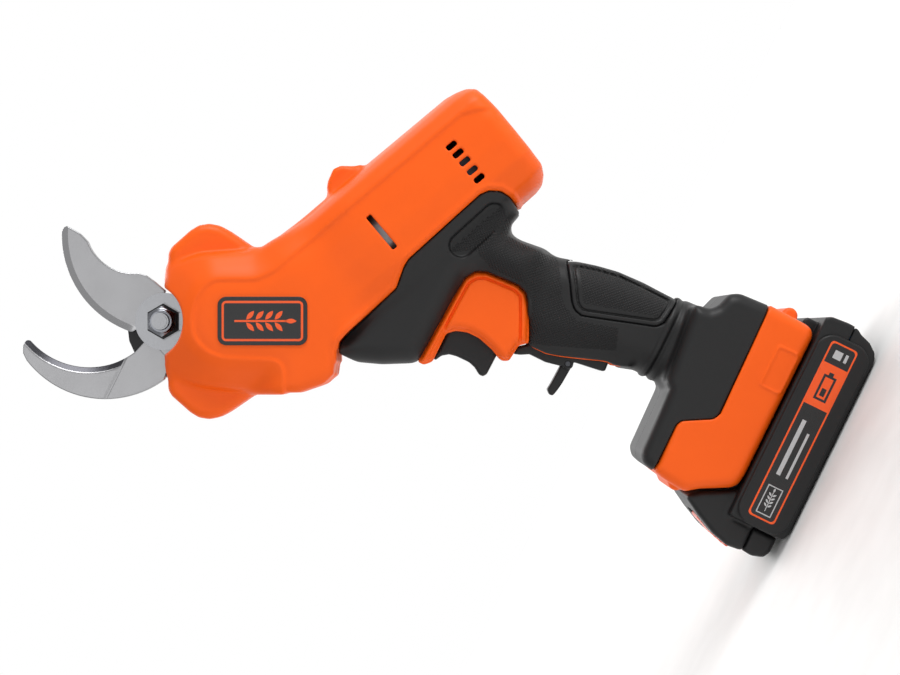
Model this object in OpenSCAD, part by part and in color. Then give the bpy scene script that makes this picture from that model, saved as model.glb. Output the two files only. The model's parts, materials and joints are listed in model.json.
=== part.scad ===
// Battery electric pruner, standing on its battery pack.
// X runs towards the grip's back (blades lean to -X), Y across, Z up.
// Origin: centre of the pack's flat underside. All sizes in millimetres.

/* [Blades] */
// Height of the blade pivot above the underside
pivot_z = 307.3; // [307:0.1:308]
// Distance of the blade pivot in front of the origin
pivot_x = 83.5; // [83:0.1:84]
// Thickness of the moving blade
blade_t = 3.0; // [2.8:0.1:3.2]
// Thickness of the hooked counter blade
hook_t = 4.0; // [3.6:0.1:4.4]
// Radius of the retaining disc and of both blade hubs
hub_r = 13.7; // [13:0.1:14]
// Radius of the pivot bush
bush_r = 6.0; // [5.5:0.1:6.5]
// Across flats of the pivot lock nut
nut_af = 13.0; // [12.5:0.1:13]

/* [Drive] */
// Radius of the motor housing
barrel_r = 32.0; // [31.5:0.1:32.5]
// Wall of the plastic shells
wall = 2.6; // [2.2:0.1:2.8]
// Gear module of the planetary stage
gear_m = 0.6; // [0.58:0.01:0.62]
// Radius of the motor can
can_r = 18.0; // [17.5:0.1:18.5]
// Outer radius of the lead screw
screw_r = 4.0; // [3.6:0.1:4.1]
// Radius of the screw nut's body
nut_r = 9.5; // [9:0.1:9.6]
// Radius of the drive pin in the blade's tail
drive_pin_r = 2.5; // [2.4:0.05:2.6]

/* [Grip] */
// Half width of the neck under the motor
neck_w = 25.0; // [24:0.5:26]
// Half width of the hand grip
grip_w = 17.5; // [17:0.5:18]
// Half width of the trigger
trigger_w = 8.5; // [8:0.1:8.8]

/* [Pack] */
// Half width of the foot that holds the pack
foot_w = 34.0; // [33:0.5:34.5]
// Half width of the pack over its side panels
pack_w = 37.5; // [37:0.1:38]
// Diameter of one round cell
cell_d = 18.4; // [18:0.1:18.6]
// Pitch of the cells
cell_pitch = 19.0; // [18.8:0.1:19.2]

/* [Hidden] */
$fn = 48;

DRIVE_TILT = 66.3;
HEAD_TILT = 63.8;
PIVOT_T = 177;
PIVOT_H = 37;
FX = -sin(DRIVE_TILT);
FZ = cos(DRIVE_TILT);
DRIVE_X = -pivot_x - PIVOT_T * FX - PIVOT_H * FZ;
DRIVE_Z = pivot_z - PIVOT_T * FZ + PIVOT_H * FX;

// Layers across the blades, from the near side (-Y) to the far side.
BLADE_Y1 = -0.2;
BLADE_Y0 = BLADE_Y1 - blade_t;
DISC_Y0 = BLADE_Y0 - 1.4;
PLATE_Y0 = DISC_Y0 - 1.5;
HOOK_Y1 = hook_t;
FRAME_Y1 = HOOK_Y1 + 6;

// Blade drive: the tail swings from TAIL_OPEN to TAIL_OPEN + SWING.
SWING = 54;
TAIL_R = 28;
TAIL_OPEN = -8.3;
SLOT_TILT = TAIL_OPEN + SWING / 2;
YOKE_STROKE = 2 * 0.974 * TAIL_R / cos(SLOT_TILT) * SWING / 2 * PI / 180;
YOKE_REST = -YOKE_STROKE / 2;
SLOT_GAP = 0.25;
SUN_TEETH = 18;
PLANET_TEETH = 18;
RING_TEETH = 54;
PLANET_RING = gear_m * (SUN_TEETH + PLANET_TEETH) / 2;
GEAR_T0 = 76;
GEAR_T1 = 84;

ORANGE = [0.93, 0.30, 0.06];
BLACK = [0.05, 0.05, 0.055];
STEEL = [0.62, 0.63, 0.64];

// Extrude a side-view outline from y = a to y = b.
module slab(a, b) {
  translate([0, b, 0])
  rotate([90, 0, 0])
  linear_extrude(b - a)
  children();
}
// Local X runs backwards along the head, local Z towards its upper lobe.
module head() {
  translate([-pivot_x, 0, pivot_z])
  rotate([0, HEAD_TILT, 0])
  children();
}
// Local Z runs forwards along the motor shaft, local X towards the blade pivot.
module drive() {
  translate([DRIVE_X, 0, DRIVE_Z])
  rotate([0, -DRIVE_TILT, 0])
  children();
}
module tube(r, ri, z0, z1) {
  difference() {
    translate([0, 0, z0])
    cylinder(r = r, h = z1 - z0);
    translate([0, 0, z0 - 1])
    cylinder(r = ri, h = z1 - z0 + 2);
  }
}
module rod(r, z0, z1) {
  translate([0, 0, z0])
  cylinder(r = r, h = z1 - z0);
}
// A cylinder along Y through (x, z).
module cross_rod(x, z, r, y0, y1) {
  translate([x, y1, z])
  rotate([90, 0, 0])
  cylinder(r = r, h = y1 - y0);
}
module near_half() {
  intersection() {
    children();
    translate([-200, -60, -10])
    cube([400, 60, 420]);
  }
}
module far_half() {
  intersection() {
    children();
    translate([-200, 0, -10])
    cube([400, 60, 420]);
  }
}

function arc(cx, cy, r, a0, a1, n) =
  [for (i = [0 : n]) [cx + r * cos(a0 + (a1 - a0) * i / n), cy + r * sin(a0 + (a1 - a0) * i / n)]];

// ---- side-view outlines, head frame (u back, v up) ----
HORN = [[1.8, 19.5], [2.2, 26.5], [8, 29.5], [19.2, 32.2], [40, 33.7], [43.5, 35.3]];
HEAD_OUT = concat(HORN, [[84.7, -13.7], [84, -19.5], [83.2, -25.5], [78.5, -30.2], [66.7, -34.3],
  [43.5, -34.8], [40, -33.7], [19.2, -32.2], [8, -29.5], [2.2, -26.5], [1.8, -19.5]]);
LOBE = concat([[1.2, 10], [1.6, 34], [3.4, 36.2]], arc(22.4, 32.5, 14.3, 129, 51, 8), [[43.5, 35.2],
  [43.5, 10]]);

module head_outline() {
  polygon(HEAD_OUT);
}
module lobe_outline() {
  polygon(LOBE);
  mirror([0, 1])
  polygon(LOBE);
}

// ---- side-view outlines, row frame (x, z) ----
// Colour break between the orange motor housing and the black grip.
BREAK = [[-62.6, 219], [-61.5, 223.5], [-59, 225.4], [-54.7, 226.6], [-49.3, 225.1], [-20.3, 213.9],
  [-9.6, 215.1], [-5.5, 214.6], [36, 198.1], [39.5, 195.2], [41.8, 190], [41.4, 184.8], [37.6, 177]];
module orange_zone() {
  polygon(concat(BREAK, [[37.6, 150], [140, 150], [140, 380], [-160, 380], [-160, 219]]));
}
NECK = [[-62, 221], [-55.6, 204.4], [-48.8, 191.7], [-46.2, 189.2], [-1.7, 187.2], [3.2, 184.2],
  [5.3, 179.6], [6.4, 163.4], [4.6, 158.2], [1.6, 155.9], [25.9, 159.5], [24.5, 171], [24.9, 177.6],
  [31.4, 178.8], [37.6, 177], [42, 184], [42, 192], [36, 200], [-62, 230]];
HANDLE = [[24.9, 177.6], [24.5, 171], [25.9, 159.5], [27.6, 150.7], [29.9, 142.7], [32.3, 133.5],
  [34.2, 123], [34.8, 110], [34.5, 98], [34.2, 81], [34.2, 72], [-6, 72], [-4.4, 86], [-5.4, 97],
  [-5.6, 104], [-4.9, 110], [-10.4, 125], [-14.2, 135], [-15.6, 147.7], [1.6, 155.9], [4.6, 158.2],
  [6.4, 163.4], [6.3, 177.6]];
FOOT_TOP = [[-41.5, 68.8], [-42.6, 74], [-41.3, 78.4], [-37, 80.9], [-8, 82.5], [-4.4, 86], [34.2, 86],
  [35.4, 78.5], [38.2, 75.9], [45.5, 73.6], [48, 69], [49.2, 54.4], [-6.6, 52.8], [-10, 54.6],
  [-17.2, 67.4], [-19.6, 68.8]];
FOOT_LOW = [[-41.5, 68.8], [-44.8, 66.8], [-46.3, 61.5], [-46.2, 51.8], [-42, 46.3], [-35.1, 33.4],
  [-32.4, 30.8], [-27, 30], [44.5, 30], [47.6, 31.8], [48.6, 35], [49.2, 54.4], [-6.6, 52.8],
  [-10, 54.6], [-17.2, 67.4], [-19.6, 68.8]];
SURROUND = [[-46.2, 189.2], [-1.7, 187.2], [3.2, 184.2], [5.3, 179.6], [6.4, 163.4], [4.6, 158.2],
  [1.6, 155.9], [-15.6, 147.7], [-18.6, 151.2], [-27, 152.1], [-28.2, 154.4], [-25.4, 161],
    [-23.3, 168.7],
  [-23.3, 175.1], [-25.2, 180.6], [-28.7, 184.5], [-43.6, 184.5], [-46.2, 187]];

// ---- outer solids ----
module barrel_solid(r, t0, round_r, t1) {
  drive()
  union() {
    rod(r, t0 + round_r, t1);
    rod(r - round_r, t0, t1);
    translate([0, 0, t0 + round_r])
    rotate_extrude()
    translate([r - round_r, 0])
    circle(round_r);
  }
}
module body_solid() {
  barrel_solid(barrel_r, -8.8, 8, 124);
  head()
  slab(-28, 28)
  head_outline();
  head()
  slab(-11, 12)
  lobe_outline();
}
module grip_solid() {
  slab(-neck_w, neck_w)
  polygon(NECK);
  slab(-grip_w, grip_w)
  difference() {
    polygon(HANDLE);
    polygon(SURROUND);
  }
  slab(-foot_w, foot_w)
  polygon(FOOT_TOP);
}
// The space inside both shells.
module hollow() {
  barrel_solid(barrel_r - wall, -8.8 + wall, 8 - wall, 122);
  // passage from the barrel into the head, with room for the frame's arm
  drive() {
    rod(24, 118, 128);
    slab(HOOK_Y1 - 0.6, FRAME_Y1 + 0.6)
    polygon([[13, 118], [28.3, 118], [28.3, 128], [13, 128]]);
  }
  head()
  slab(-28 + wall, 28 - wall)
  offset(delta = -wall)
  head_outline();
  head()
  slab(-11 + wall, 12 - wall)
  for (m = [0, 1])
    mirror([0, m])
    offset(delta = -wall)
    polygon(LOBE);
  slab(-neck_w + wall, neck_w - wall)
  offset(delta = -wall)
  union() {
    polygon(NECK);
    polygon([[-56, 222], [36, 190], [20, 230], [-50, 250]]);
  }
  slab(-grip_w + wall, grip_w - wall)
  difference() {
    offset(delta = -wall)
    union() {
      polygon(HANDLE);
      polygon([[24.9, 177.6], [6.3, 177.6], [-2, 200], [24, 200]]);
    }
    offset(delta = wall)
    polygon(SURROUND);
    // wall in front of the safety lever's pocket
    polygon([[-20, 160], [-5.4, 152], [-1.6, 128], [5.2, 102], [-10, 98], [-24, 130]]);
  }
  slab(-foot_w + wall, foot_w - wall)
  offset(delta = -wall)
  polygon([[-42.6, 74], [-41.3, 78.4], [-37, 80.9], [38, 78.5], [45.5, 73.6], [48, 69], [49.2, 49.5],
    [-46.2, 49.5]]);
}
// The mouth where the blades leave the head, and the scallop round the nut.
module mouth() {
  head()
  slab(-9, FRAME_Y1 + 1)
  polygon([[-20, -19], [14, -19], [14, 19], [-20, 19]]);
  // the blade's tail and its yoke pass beside the mouth
  head()
  slab(-7.4, 8.1)
  polygon([[-2, -26], [8, -28], [8, -10], [-2, -10]]);
  head()
  slab(-40, 40)
  translate([-5.25, 0])
  circle(r = 16.9);
}
// Screw bosses as [x, z, half length].
SCREWS_LOBE = [[-107, 269, 10.5], [-38.8, 302.6, 10.5]];
SCREWS_BARREL = [[-17.2, 266.8, 16], [50.5, 234.3, 18]];
SCREWS_GRIP = [[27, 189, 24], [-52, 212, 24]];
SCREWS_FOOT = [[-34, 74, foot_w - 2], [42, 67, foot_w - 2]];
BOSS_R = 4;
SCREW_R = 1.7;
HEAD_R = 3.1;
HEAD_DEPTH = 4;
module bosses(list) {
  for (p = list)
    cross_rod(p[0], p[1], BOSS_R, -p[2], p[2]);
}
module boss_holes(list) {
  for (p = list) {
    cross_rod(p[0], p[1], SCREW_R, -p[2] + HEAD_DEPTH, p[2]);
    cross_rod(p[0], p[1], HEAD_R + 0.3, p[2] - HEAD_DEPTH, p[2] + 20);
  }
}
module vents() {
  drive() {
    for (h = [-9, -4, 1, 6, 11])
      translate([h - 1.4, -45, 16.3])
      cube([2.8, 90, 5.8]);
    translate([-9.5, -45, 68.7])
    cube([20, 90, 2.7]);
  }
}
module body_shell() {
  difference() {
    union() {
      difference() {
        intersection() {
          body_solid();
          slab(-50, 50)
          orange_zone();
        }
        hollow();
        mouth();
        vents();
      }
      bosses(SCREWS_LOBE);
      intersection() {
        bosses(SCREWS_BARREL);
        drive()
        rod(barrel_r - 0.8, 0, 118);
      }
      // lug on the housing's upper edge
      slab(-5, 5)
      difference() {
        polygon([[6.4, 264], [11, 266.9], [17.6, 267], [20.6, 264.6], [24.4, 256], [20, 254.2],
          [3, 261.6]]);
        translate([15.6, 262.4])
        circle(r = 2);
      }
    }
    boss_holes(concat(SCREWS_LOBE, SCREWS_BARREL));
    drive()
    rod(23.2, 70, 118);
  }
}
module grip_shell() {
  difference() {
    union() {
      difference() {
        union() {
          grip_solid();
          difference() {
            body_solid();
            hollow();
          }
        }
        slab(-60, 60)
        orange_zone();
        slab(-60, 60)
        polygon(SURROUND);
        hollow();
        // bay for the trigger behind the surround
        slab(-10, 10)
        polygon([[-8, 184], [10, 184], [10, 160], [-8, 154]]);
        lever_bay();
        foot_channel();
      }
      intersection() {
        bosses(SCREWS_GRIP);
        difference() {
          slab(-30, 30)
          polygon(NECK);
          slab(-60, 60)
          orange_zone();
        }
      }
      bosses(SCREWS_FOOT);
    }
    boss_holes(SCREWS_GRIP);
    boss_holes(SCREWS_FOOT);
    drive()
    rod(23.2, 70, 118);
    palm_recess();
    cross_rod(LEVER_PIN[0], LEVER_PIN[1], LEVER_PIN_R, -11.6, 11.6);
    // lead-through behind the trigger surround
    slab(-5, 5)
    polygon([[0, 152], [9, 152], [9, 160], [0, 160]]);
  }
}
// Pocket for the safety lever in the grip's front.
module lever_bay() {
  slab(-8.6, 8.6)
  polygon([[-30, 153], [-16, 147.4], [-9.6, 147.4], [-8.6, 138], [-5.2, 125], [0.8, 108.6],
    [0.4, 103.6], [-30, 103.6]]);
}
// Open channel through the foot for the pack's rail tower.
module foot_channel() {
  slab(-23, 23)
  polygon([[-60, 20], [60, 20], [60, 45.2], [-60, 45.2]]);
  slab(-25.4, 25.4)
  polygon([[-60, 34.6], [60, 34.6], [60, 39.4], [-60, 39.4]]);
}
module foot_shell() {
  difference() {
    union() {
      slab(-foot_w, foot_w)
      polygon(FOOT_LOW);
      cross_rod(-43.6, 56, 3.4, -10, 10);
      cross_rod(48.6, 42.4, 3.2, -10, 10);
    }
    foot_channel();
    slab(-foot_w + wall, foot_w - wall)
    offset(delta = -wall)
    polygon([[-42.6, 74], [46, 74], [49.2, 49.5], [-46.2, 49.5]]);
    slab(-foot_w + wall, foot_w - wall)
    polygon([[-8, 60], [30, 60], [30, 52], [-8, 52]]);
    // the terminal block hangs through the roof of the channel
    slab(-18.2, 18.2)
    polygon([[-14.2, 40], [14.2, 40], [14.2, 60], [-14.2, 60]]);
    boss_holes(SCREWS_FOOT);
  }
}
module palm_outline() {
  polygon([[27.6, 150.7], [29.9, 142.7], [32.3, 133.5], [34.2, 123], [34.8, 110], [34.5, 98],
    [34.4, 91.5],
    [20.4, 93.4], [17.4, 96], [6.4, 130], [7.2, 134], [10, 137]]);
}
module palm_recess() {
  difference() {
    slab(-grip_w - 1, grip_w + 1)
    palm_outline();
    slab(-grip_w + 1.2, grip_w - 1.2)
    offset(delta = -1.2)
    translate([-0.001, 0])
    palm_outline();
    slab(-grip_w + 1.2, grip_w - 1.2)
    polygon([[10, 137.5], [0, 130], [14, 92], [33.2, 90], [33.4, 98], [33.6, 110], [33, 123],
      [31.1, 133.5],
      [28.7, 142.7], [26.4, 150.7]]);
  }
}

module body_shell_near() {
  color(ORANGE)
  near_half()
  body_shell();
}
module body_shell_far() {
  color(ORANGE)
  far_half()
  body_shell();
}
module grip_shell_near() {
  color(BLACK)
  near_half()
  grip_shell();
}
module grip_shell_far() {
  color(BLACK)
  far_half()
  grip_shell();
}
module foot_shell_near() {
  color(ORANGE)
  near_half()
  foot_shell();
}
module foot_shell_far() {
  color(ORANGE)
  far_half()
  foot_shell();
}

module trigger_surround() {
  color(ORANGE)
  difference() {
    slab(-18, 18)
    polygon(SURROUND);
    slab(-15.6, 15.6)
    offset(delta = -2.2)
    polygon(SURROUND);
    slab(-trigger_w - 0.5, trigger_w + 0.5)
    polygon([[-50, 184.45], [-19, 184.45], [-19, 156.9], [-50, 156.9]]);
    // lead-through for the switch wires
    slab(-5, 5)
    polygon([[-1, 152], [9, 157], [9, 164], [-1, 161]]);
  }
}
module palm_pad() {
  color([0.07, 0.07, 0.075])
  difference() {
    intersection() {
      slab(-grip_w, grip_w)
      polygon(HANDLE);
      palm_recess();
    }
    slab(-60, 60)
    polygon([[-20, 60], [6, 60], [6, 180], [-20, 180]]);
  }
}
module badge_plate() {
  color([0.03, 0.03, 0.035])
  difference() {
    head()
    translate([49.3, 0, 0])
    slab(-28.6, -28)
    union() {
      square([34, 22.4], center = true);
      square([41.6, 14.8], center = true);
      for (a = [-1, 1])
        for (b = [-1, 1])
          translate([a * 17, b * 7.4])
          circle(r = 3.8);
    }
    drive()
    rod(barrel_r + 0.02, 0, 124.02);
  }
}
// One housing screw from the far side: head in the counterbore, shank into the near half.
module housing_screws() {
  color(STEEL)
  for (p = concat(SCREWS_LOBE, SCREWS_BARREL, SCREWS_GRIP, SCREWS_FOOT)) {
    cross_rod(p[0], p[1], SCREW_R, -p[2] + HEAD_DEPTH + 0.5, p[2] - HEAD_DEPTH);
    difference() {
      cross_rod(p[0], p[1], HEAD_R, p[2] - HEAD_DEPTH, p[2] - HEAD_DEPTH + 2.6);
      cross_rod(p[0], p[1], 1.5, p[2] - HEAD_DEPTH + 1.2, p[2]);
    }
  }
}

// ---- blades and pivot ----
module hub(r) {
  translate([-pivot_x, pivot_z])
  circle(r = r);
}
// Drive-frame outlines are [height, length forwards].
module in_drive() {
  translate([DRIVE_X, DRIVE_Z])
  rotate(DRIVE_TILT)
  children();
}
module hook_outline() {
  polygon(concat(arc(-86.9, 337.7, 47.7, 153.5, 243, 14), [[-102, 296], [-96, 312]],
    arc(-85.9, 347.3, 37.5, 242, 157, 14), [[-121, 363.3], [-123.6, 363.6], [-127.2, 362]]));
  hub(hub_r);
  in_drive()
  polygon([[15.8, 194], [24, 187], [24, 140], [30, 136], [34, 150], [42, 160], [46, 168], [37, 190]]);
}
HOOK_SCREWS = [[28.2, 144], [28.2, 159]];
module hook_blade() {
  color(STEEL)
  difference() {
    slab(0, HOOK_Y1)
    hook_outline();
    cross_rod(-pivot_x, pivot_z, 4, -1, HOOK_Y1 + 1);
    drive()
    for (p = HOOK_SCREWS) {
      cross_rod(p[0], p[1], 2.2, -1, HOOK_Y1 + 1);
      cross_rod(p[0], p[1], 3.8, -1, 2.2);
    }
  }
}
module hook_screws() {
  color(STEEL)
  drive()
  for (p = HOOK_SCREWS) {
    cross_rod(p[0], p[1], 2.2, 1, FRAME_Y1);
    difference() {
      cross_rod(p[0], p[1], 3.8, 0.1, 2.2);
      cross_rod(p[0], p[1], 1.5, 0, 1.4);
    }
  }
}
module gear_frame() {
  color([0.70, 0.71, 0.72])
  difference() {
    union() {
      drive()
      rod(22, 112, 116);
      drive()
      slab(HOOK_Y1, FRAME_Y1)
      polygon([[14, 112], [14, 116], [23, 124], [23, 186], [29, 189], [37, 190], [46, 186], [48.5, 177],
        [46, 168], [38, 158], [33, 150], [29, 134], [27.5, 124], [27.5, 112]]);
    }
    drive()
    rod(9, 111, 117);
    cross_rod(-pivot_x, pivot_z, 4, HOOK_Y1 - 1, FRAME_Y1 + 1);
    drive()
    for (p = HOOK_SCREWS)
      cross_rod(p[0], p[1], 2.2, HOOK_Y1 - 1, FRAME_Y1 + 1);
  }
}
// A hexagonal prism on the pivot axis, points along the head's upright.
module pivot_hex(af, y0, y1) {
  head()
  slab(y0, y1)
  rotate(30)
  circle(r = af / 2 / cos(30), $fn = 6);
}
module pivot_bolt() {
  color(STEEL) {
    cross_rod(-pivot_x, pivot_z, 4, -17.2, FRAME_Y1);
    cross_rod(-pivot_x, pivot_z, 3.3, -17.8, -17.2);
    pivot_hex(nut_af, FRAME_Y1, FRAME_Y1 + 5.3);
  }
}
module pivot_nut() {
  color(STEEL)
  difference() {
    union() {
      pivot_hex(nut_af, -12.6, PLATE_Y0);
      cross_rod(-pivot_x, pivot_z, 5.7, -14.4, -12);
    }
    cross_rod(-pivot_x, pivot_z, 4, -20, 0);
  }
}
module lock_plate() {
  color(STEEL)
  difference() {
    union() {
      pivot_hex(15.4, PLATE_Y0, DISC_Y0);
      head()
      slab(PLATE_Y0, DISC_Y0)
      polygon([[6, -4], [16, -4], [16, 4], [6, 4]]);
    }
    cross_rod(-pivot_x, pivot_z, 4, -20, 0);
  }
}
module retaining_disc() {
  color(STEEL)
  difference() {
    cross_rod(-pivot_x, pivot_z, hub_r, DISC_Y0, BLADE_Y0 - 0.2);
    cross_rod(-pivot_x, pivot_z, 4, -20, 0);
  }
}
module pivot_bush() {
  color([0.72, 0.55, 0.25])
  difference() {
    cross_rod(-pivot_x, pivot_z, bush_r, BLADE_Y0 - 0.2, 0);
    cross_rod(-pivot_x, pivot_z, 4, -20, 2);
  }
}
module blade_bumper() {
  color(BLACK)
  slab(0.1, HOOK_Y1 - 0.1)
  difference() {
    polygon([[-103.2, 314.1], [-99.5, 318.6], [-95.2, 321.4], [-90, 318], [-94, 308]]);
    hook_outline();
  }
}
module blade_outline() {
  polygon(concat(arc(-46.3, 325.9, 49.2, 114.6, 188, 12), [[-92, 317], [-70, 313]],
    [[-68.2, 320], [-67.4, 324.9]], arc(-48.6, 340.8, 23.1, 212, 136, 7), [[-63.4, 362], [-63, 369.4],
      [-64.4, 370.8]]));
  hub(hub_r);
}
PIN_X = -pivot_x + TAIL_R * cos(270 - (90 - DRIVE_TILT) + TAIL_OPEN);
PIN_Z = pivot_z + TAIL_R * sin(270 - (90 - DRIVE_TILT) + TAIL_OPEN);
module moving_blade() {
  color(STEEL)
  difference() {
    slab(BLADE_Y0, BLADE_Y1)
    union() {
      blade_outline();
      translate([PIN_X, PIN_Z])
      circle(r = 6.2);
      translate([-pivot_x, pivot_z])
      rotate(270 - (90 - DRIVE_TILT) + TAIL_OPEN)
      polygon([[0, -12], [8, -9.5], [TAIL_R, -6.2], [TAIL_R, 6.2], [8, 9.5], [0, 12]]);
    }
    cross_rod(-pivot_x, pivot_z, bush_r + 0.05, -20, 20);
    cross_rod(PIN_X, PIN_Z, drive_pin_r, -20, 20);
  }
}
module drive_pin() {
  color(STEEL)
  cross_rod(PIN_X, PIN_Z, drive_pin_r, BLADE_Y0 - 3.5, FRAME_Y1 - 2.6);
}

// ---- motor and gearbox, drive frame ----
module motor_can() {
  color([0.45, 0.46, 0.47])
  drive()
  difference() {
    union() {
      rod(can_r, 4, 64);
      rod(6, 64, 67);
    }
    rod(can_r - 1.5, 3, 62.4);
    rod(2.6, 60, 68);
  }
}
module motor_magnets() {
  color([0.20, 0.20, 0.21])
  drive()
  difference() {
    tube(can_r - 1.55, 13.3, 16, 54);
    translate([-4, -20, 15])
    cube([8, 40, 40]);
  }
}
module motor_cap() {
  color(BLACK)
  drive()
  difference() {
    union() {
      rod(can_r - 0.3, 0, 4);
      tube(can_r - 1.55, 9, 4, 9);
    }
    rod(2.6, -1, 5);
  }
}
module armature() {
  color([0.55, 0.35, 0.18])
  drive() {
    rod(1.6, 0.6, 88);
    tube(5, 1.6, 8, 15);
    difference() {
      rod(12.6, 18, 52);
      for (i = [0 : 4])
        rotate(i * 72)
        translate([8, -1, 17])
        cube([6, 2, 36]);
      rod(1.6, 17, 53);
    }
  }
}
// Involute tooth half-angle helper: angle of the flank at radius r past its base radius rb.
function inv_at(r, rb) = sqrt(max(r * r / (rb * rb) - 1, 0)) * 180 / PI - acos(min(rb / r, 1));
function half_tooth(r, z, rp, play) =
  90 / z - play / rp * 180 / PI + inv_at(rp, rp * cos(20)) - inv_at(max(r, rp * cos(20)), rp * cos(20));
function gear_points(z, r_root, r_tip, rp, play, start) = [for (i = [0 : z - 1])
  for (k = [-4 : 4]) let (
    r = r_root + (r_tip - r_root) * (4 - abs(k)) / 4,
    s = k < 0 ? -1 : 1,
    a = start + i * 360 / z + (k == 0 ? 0 : s * half_tooth(r, z, rp, play)))
  if (k != 0) [r * cos(a), r * sin(a)]];
module gear_2d(z, start) {
  rp = gear_m * z / 2;
  polygon(gear_points(z, rp - 1.25 * gear_m, rp + 0.85 * gear_m, rp, 0.05, start));
}
module sun_gear() {
  color(STEEL)
  drive()
  difference() {
    translate([0, 0, 74.5])
    linear_extrude(11)
    gear_2d(SUN_TEETH, 0);
    rod(1.6, 70, 90);
  }
}
module ring_gear() {
  rp = gear_m * RING_TEETH / 2;
  color([0.60, 0.61, 0.62])
  drive()
  difference() {
    rod(22, 64.5, 112);
    rod(6.1, 60, 70);
    rod(17.2, 67.5, 73);
    rod(17.2, 86, 110);
    rod(9, 105, 113);
    translate([0, 0, 72])
    linear_extrude(15)
    polygon(gear_points(RING_TEETH, rp - 0.85 * gear_m, rp + 1.15 * gear_m, rp, -0.05,
      360 / RING_TEETH / 2));
  }
}
module planet(i) {
  color([0.66, 0.66, 0.67])
  drive()
  rotate(i * 120)
  translate([PLANET_RING, 0, 75.5])
  difference() {
    linear_extrude(9)
    gear_2d(PLANET_TEETH, 180 / PLANET_TEETH);
    translate([0, 0, -1])
    cylinder(r = 1.55, h = 12);
  }
}
module planet_a() {
  planet(0);
}
module planet_b() {
  planet(1);
}
module planet_c() {
  planet(2);
}
module planet_pins() {
  color(STEEL)
  drive()
  for (i = [0 : 2])
    rotate(i * 120)
    translate([PLANET_RING, 0, 74.6])
    cylinder(r = 1.5, h = 16.9);
}
module carrier() {
  color([0.52, 0.53, 0.54])
  drive()
  difference() {
    union() {
      rod(14.6, 86.5, 91.5);
      rod(7.5, 91.5, 95);
    }
    for (i = [0 : 2])
      rotate(i * 120)
      translate([PLANET_RING, 0, 80])
      cylinder(r = 1.5, h = 15);
    rod(2.4, 86, 89);
    rod(4, 89, 96);
  }
}
LEAD = 4;
module lead_screw() {
  color(STEEL)
  drive() {
    rod(4, 89, 95);
    rod(5, 95, 118);
    rod(screw_r - 0.7, 118, 167);
    for (i = [0 : 22])
      translate([0, 0, 120 + i * LEAD / 2]) {
        cylinder(r1 = screw_r - 0.7, r2 = screw_r, h = 0.5);
        translate([0, 0, 0.5])
        cylinder(r1 = screw_r, r2 = screw_r - 0.7, h = 0.5);
      }
  }
}
module thrust_bearing() {
  color(STEEL)
  drive() {
    tube(14, 5.6, 96.5, 99.5);
    tube(14, 5.6, 104.5, 107.5);
    for (i = [0 : 9])
      rotate(i * 36)
      translate([9.8, 0, 102])
      sphere(r = 2.45);
    tube(17.1, 14.2, 95.6, 108.5);
  }
}
// Moves with the screw nut; local Z = 0 is level with the blade pivot's foot.
module nut_frame() {
  drive()
  translate([0, 0, PIVOT_T - YOKE_REST])
  children();
}
module screw_nut() {
  color([0.62, 0.60, 0.52])
  nut_frame()
  difference() {
    rod(nut_r, -44, -26);
    rod(screw_r + 0.3, -45, -25);
    for (s = [-1, 1])
      translate([-3, s * (nut_r + 0.2) - 1.2, -42])
      cube([6, 2.4, 14]);
  }
}
module guide_pads() {
  color([0.85, 0.83, 0.76])
  nut_frame()
  for (s = [-1, 1])
    translate([-3, s > 0 ? nut_r - 1 : -13.6, -42])
    cube([6, 13.6 - nut_r + 1, 14]);
}
module slot_shape() {
  h0 = PIVOT_H - TAIL_R - 0.3;
  translate([h0, tan(SLOT_TILT) * (h0 - PIVOT_H)])
  rotate(SLOT_TILT)
  union() {
    circle(r = drive_pin_r + SLOT_GAP);
    translate([9.7, 0])
    circle(r = drive_pin_r + SLOT_GAP);
    translate([0, -drive_pin_r - SLOT_GAP])
    square([9.7, 2 * (drive_pin_r + SLOT_GAP)]);
  }
}
module pull_yoke() {
  color([0.50, 0.51, 0.53])
  nut_frame()
  difference() {
    union() {
      for (y = [[BLADE_Y0 - 3.5, BLADE_Y0 - 0.5], [HOOK_Y1 + 0.4, HOOK_Y1 + 3.4]])
        slab(y[0], y[1])
        difference() {
          polygon([[3.9, -5], [3.9, -24], [12, -24], [15, -20], [22, -13], [22, -4.5], [17, -1],
            [12, -1]]);
          slot_shape();
        }
      slab(BLADE_Y0 - 3.5, HOOK_Y1 + 3.4)
      polygon([[-8, -26], [12, -26], [12, -23], [-8, -23]]);
    }
    rod(5.2, -30, -20);
  }
}
module guide_rails() {
  color([0.70, 0.71, 0.72])
  drive()
  for (s = [-1, 1])
    difference() {
      translate([-7, s > 0 ? 11 : -17, 116])
      cube([14, 6, 56]);
      translate([-3.4, s > 0 ? 10 : -14, 115])
      cube([6.8, 4, 58]);
    }
}

// ---- controls ----
module trigger() {
  color(BLACK)
  difference() {
    union() {
      slab(-trigger_w, trigger_w)
      polygon([[-42.6, 184], [-42.8, 182.6], [-39.6, 181], [-37.4, 178], [-36.7, 174.5], [-36.6, 168],
        [-37.6, 164.5],
        [-39.8, 161], [-39.8, 159], [-38, 157.7], [-20, 157.3], [-20, 184]]);
      translate([-21, 0, 171])
      rotate([0, 90, 0])
      cylinder(r = 2.4, h = 13);
    }
    translate([-27, 0, 171])
    rotate([0, 90, 0])
    difference() {
      cylinder(r = 5.4, h = 8);
      cylinder(r = 2.4, h = 8);
    }
  }
}
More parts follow.
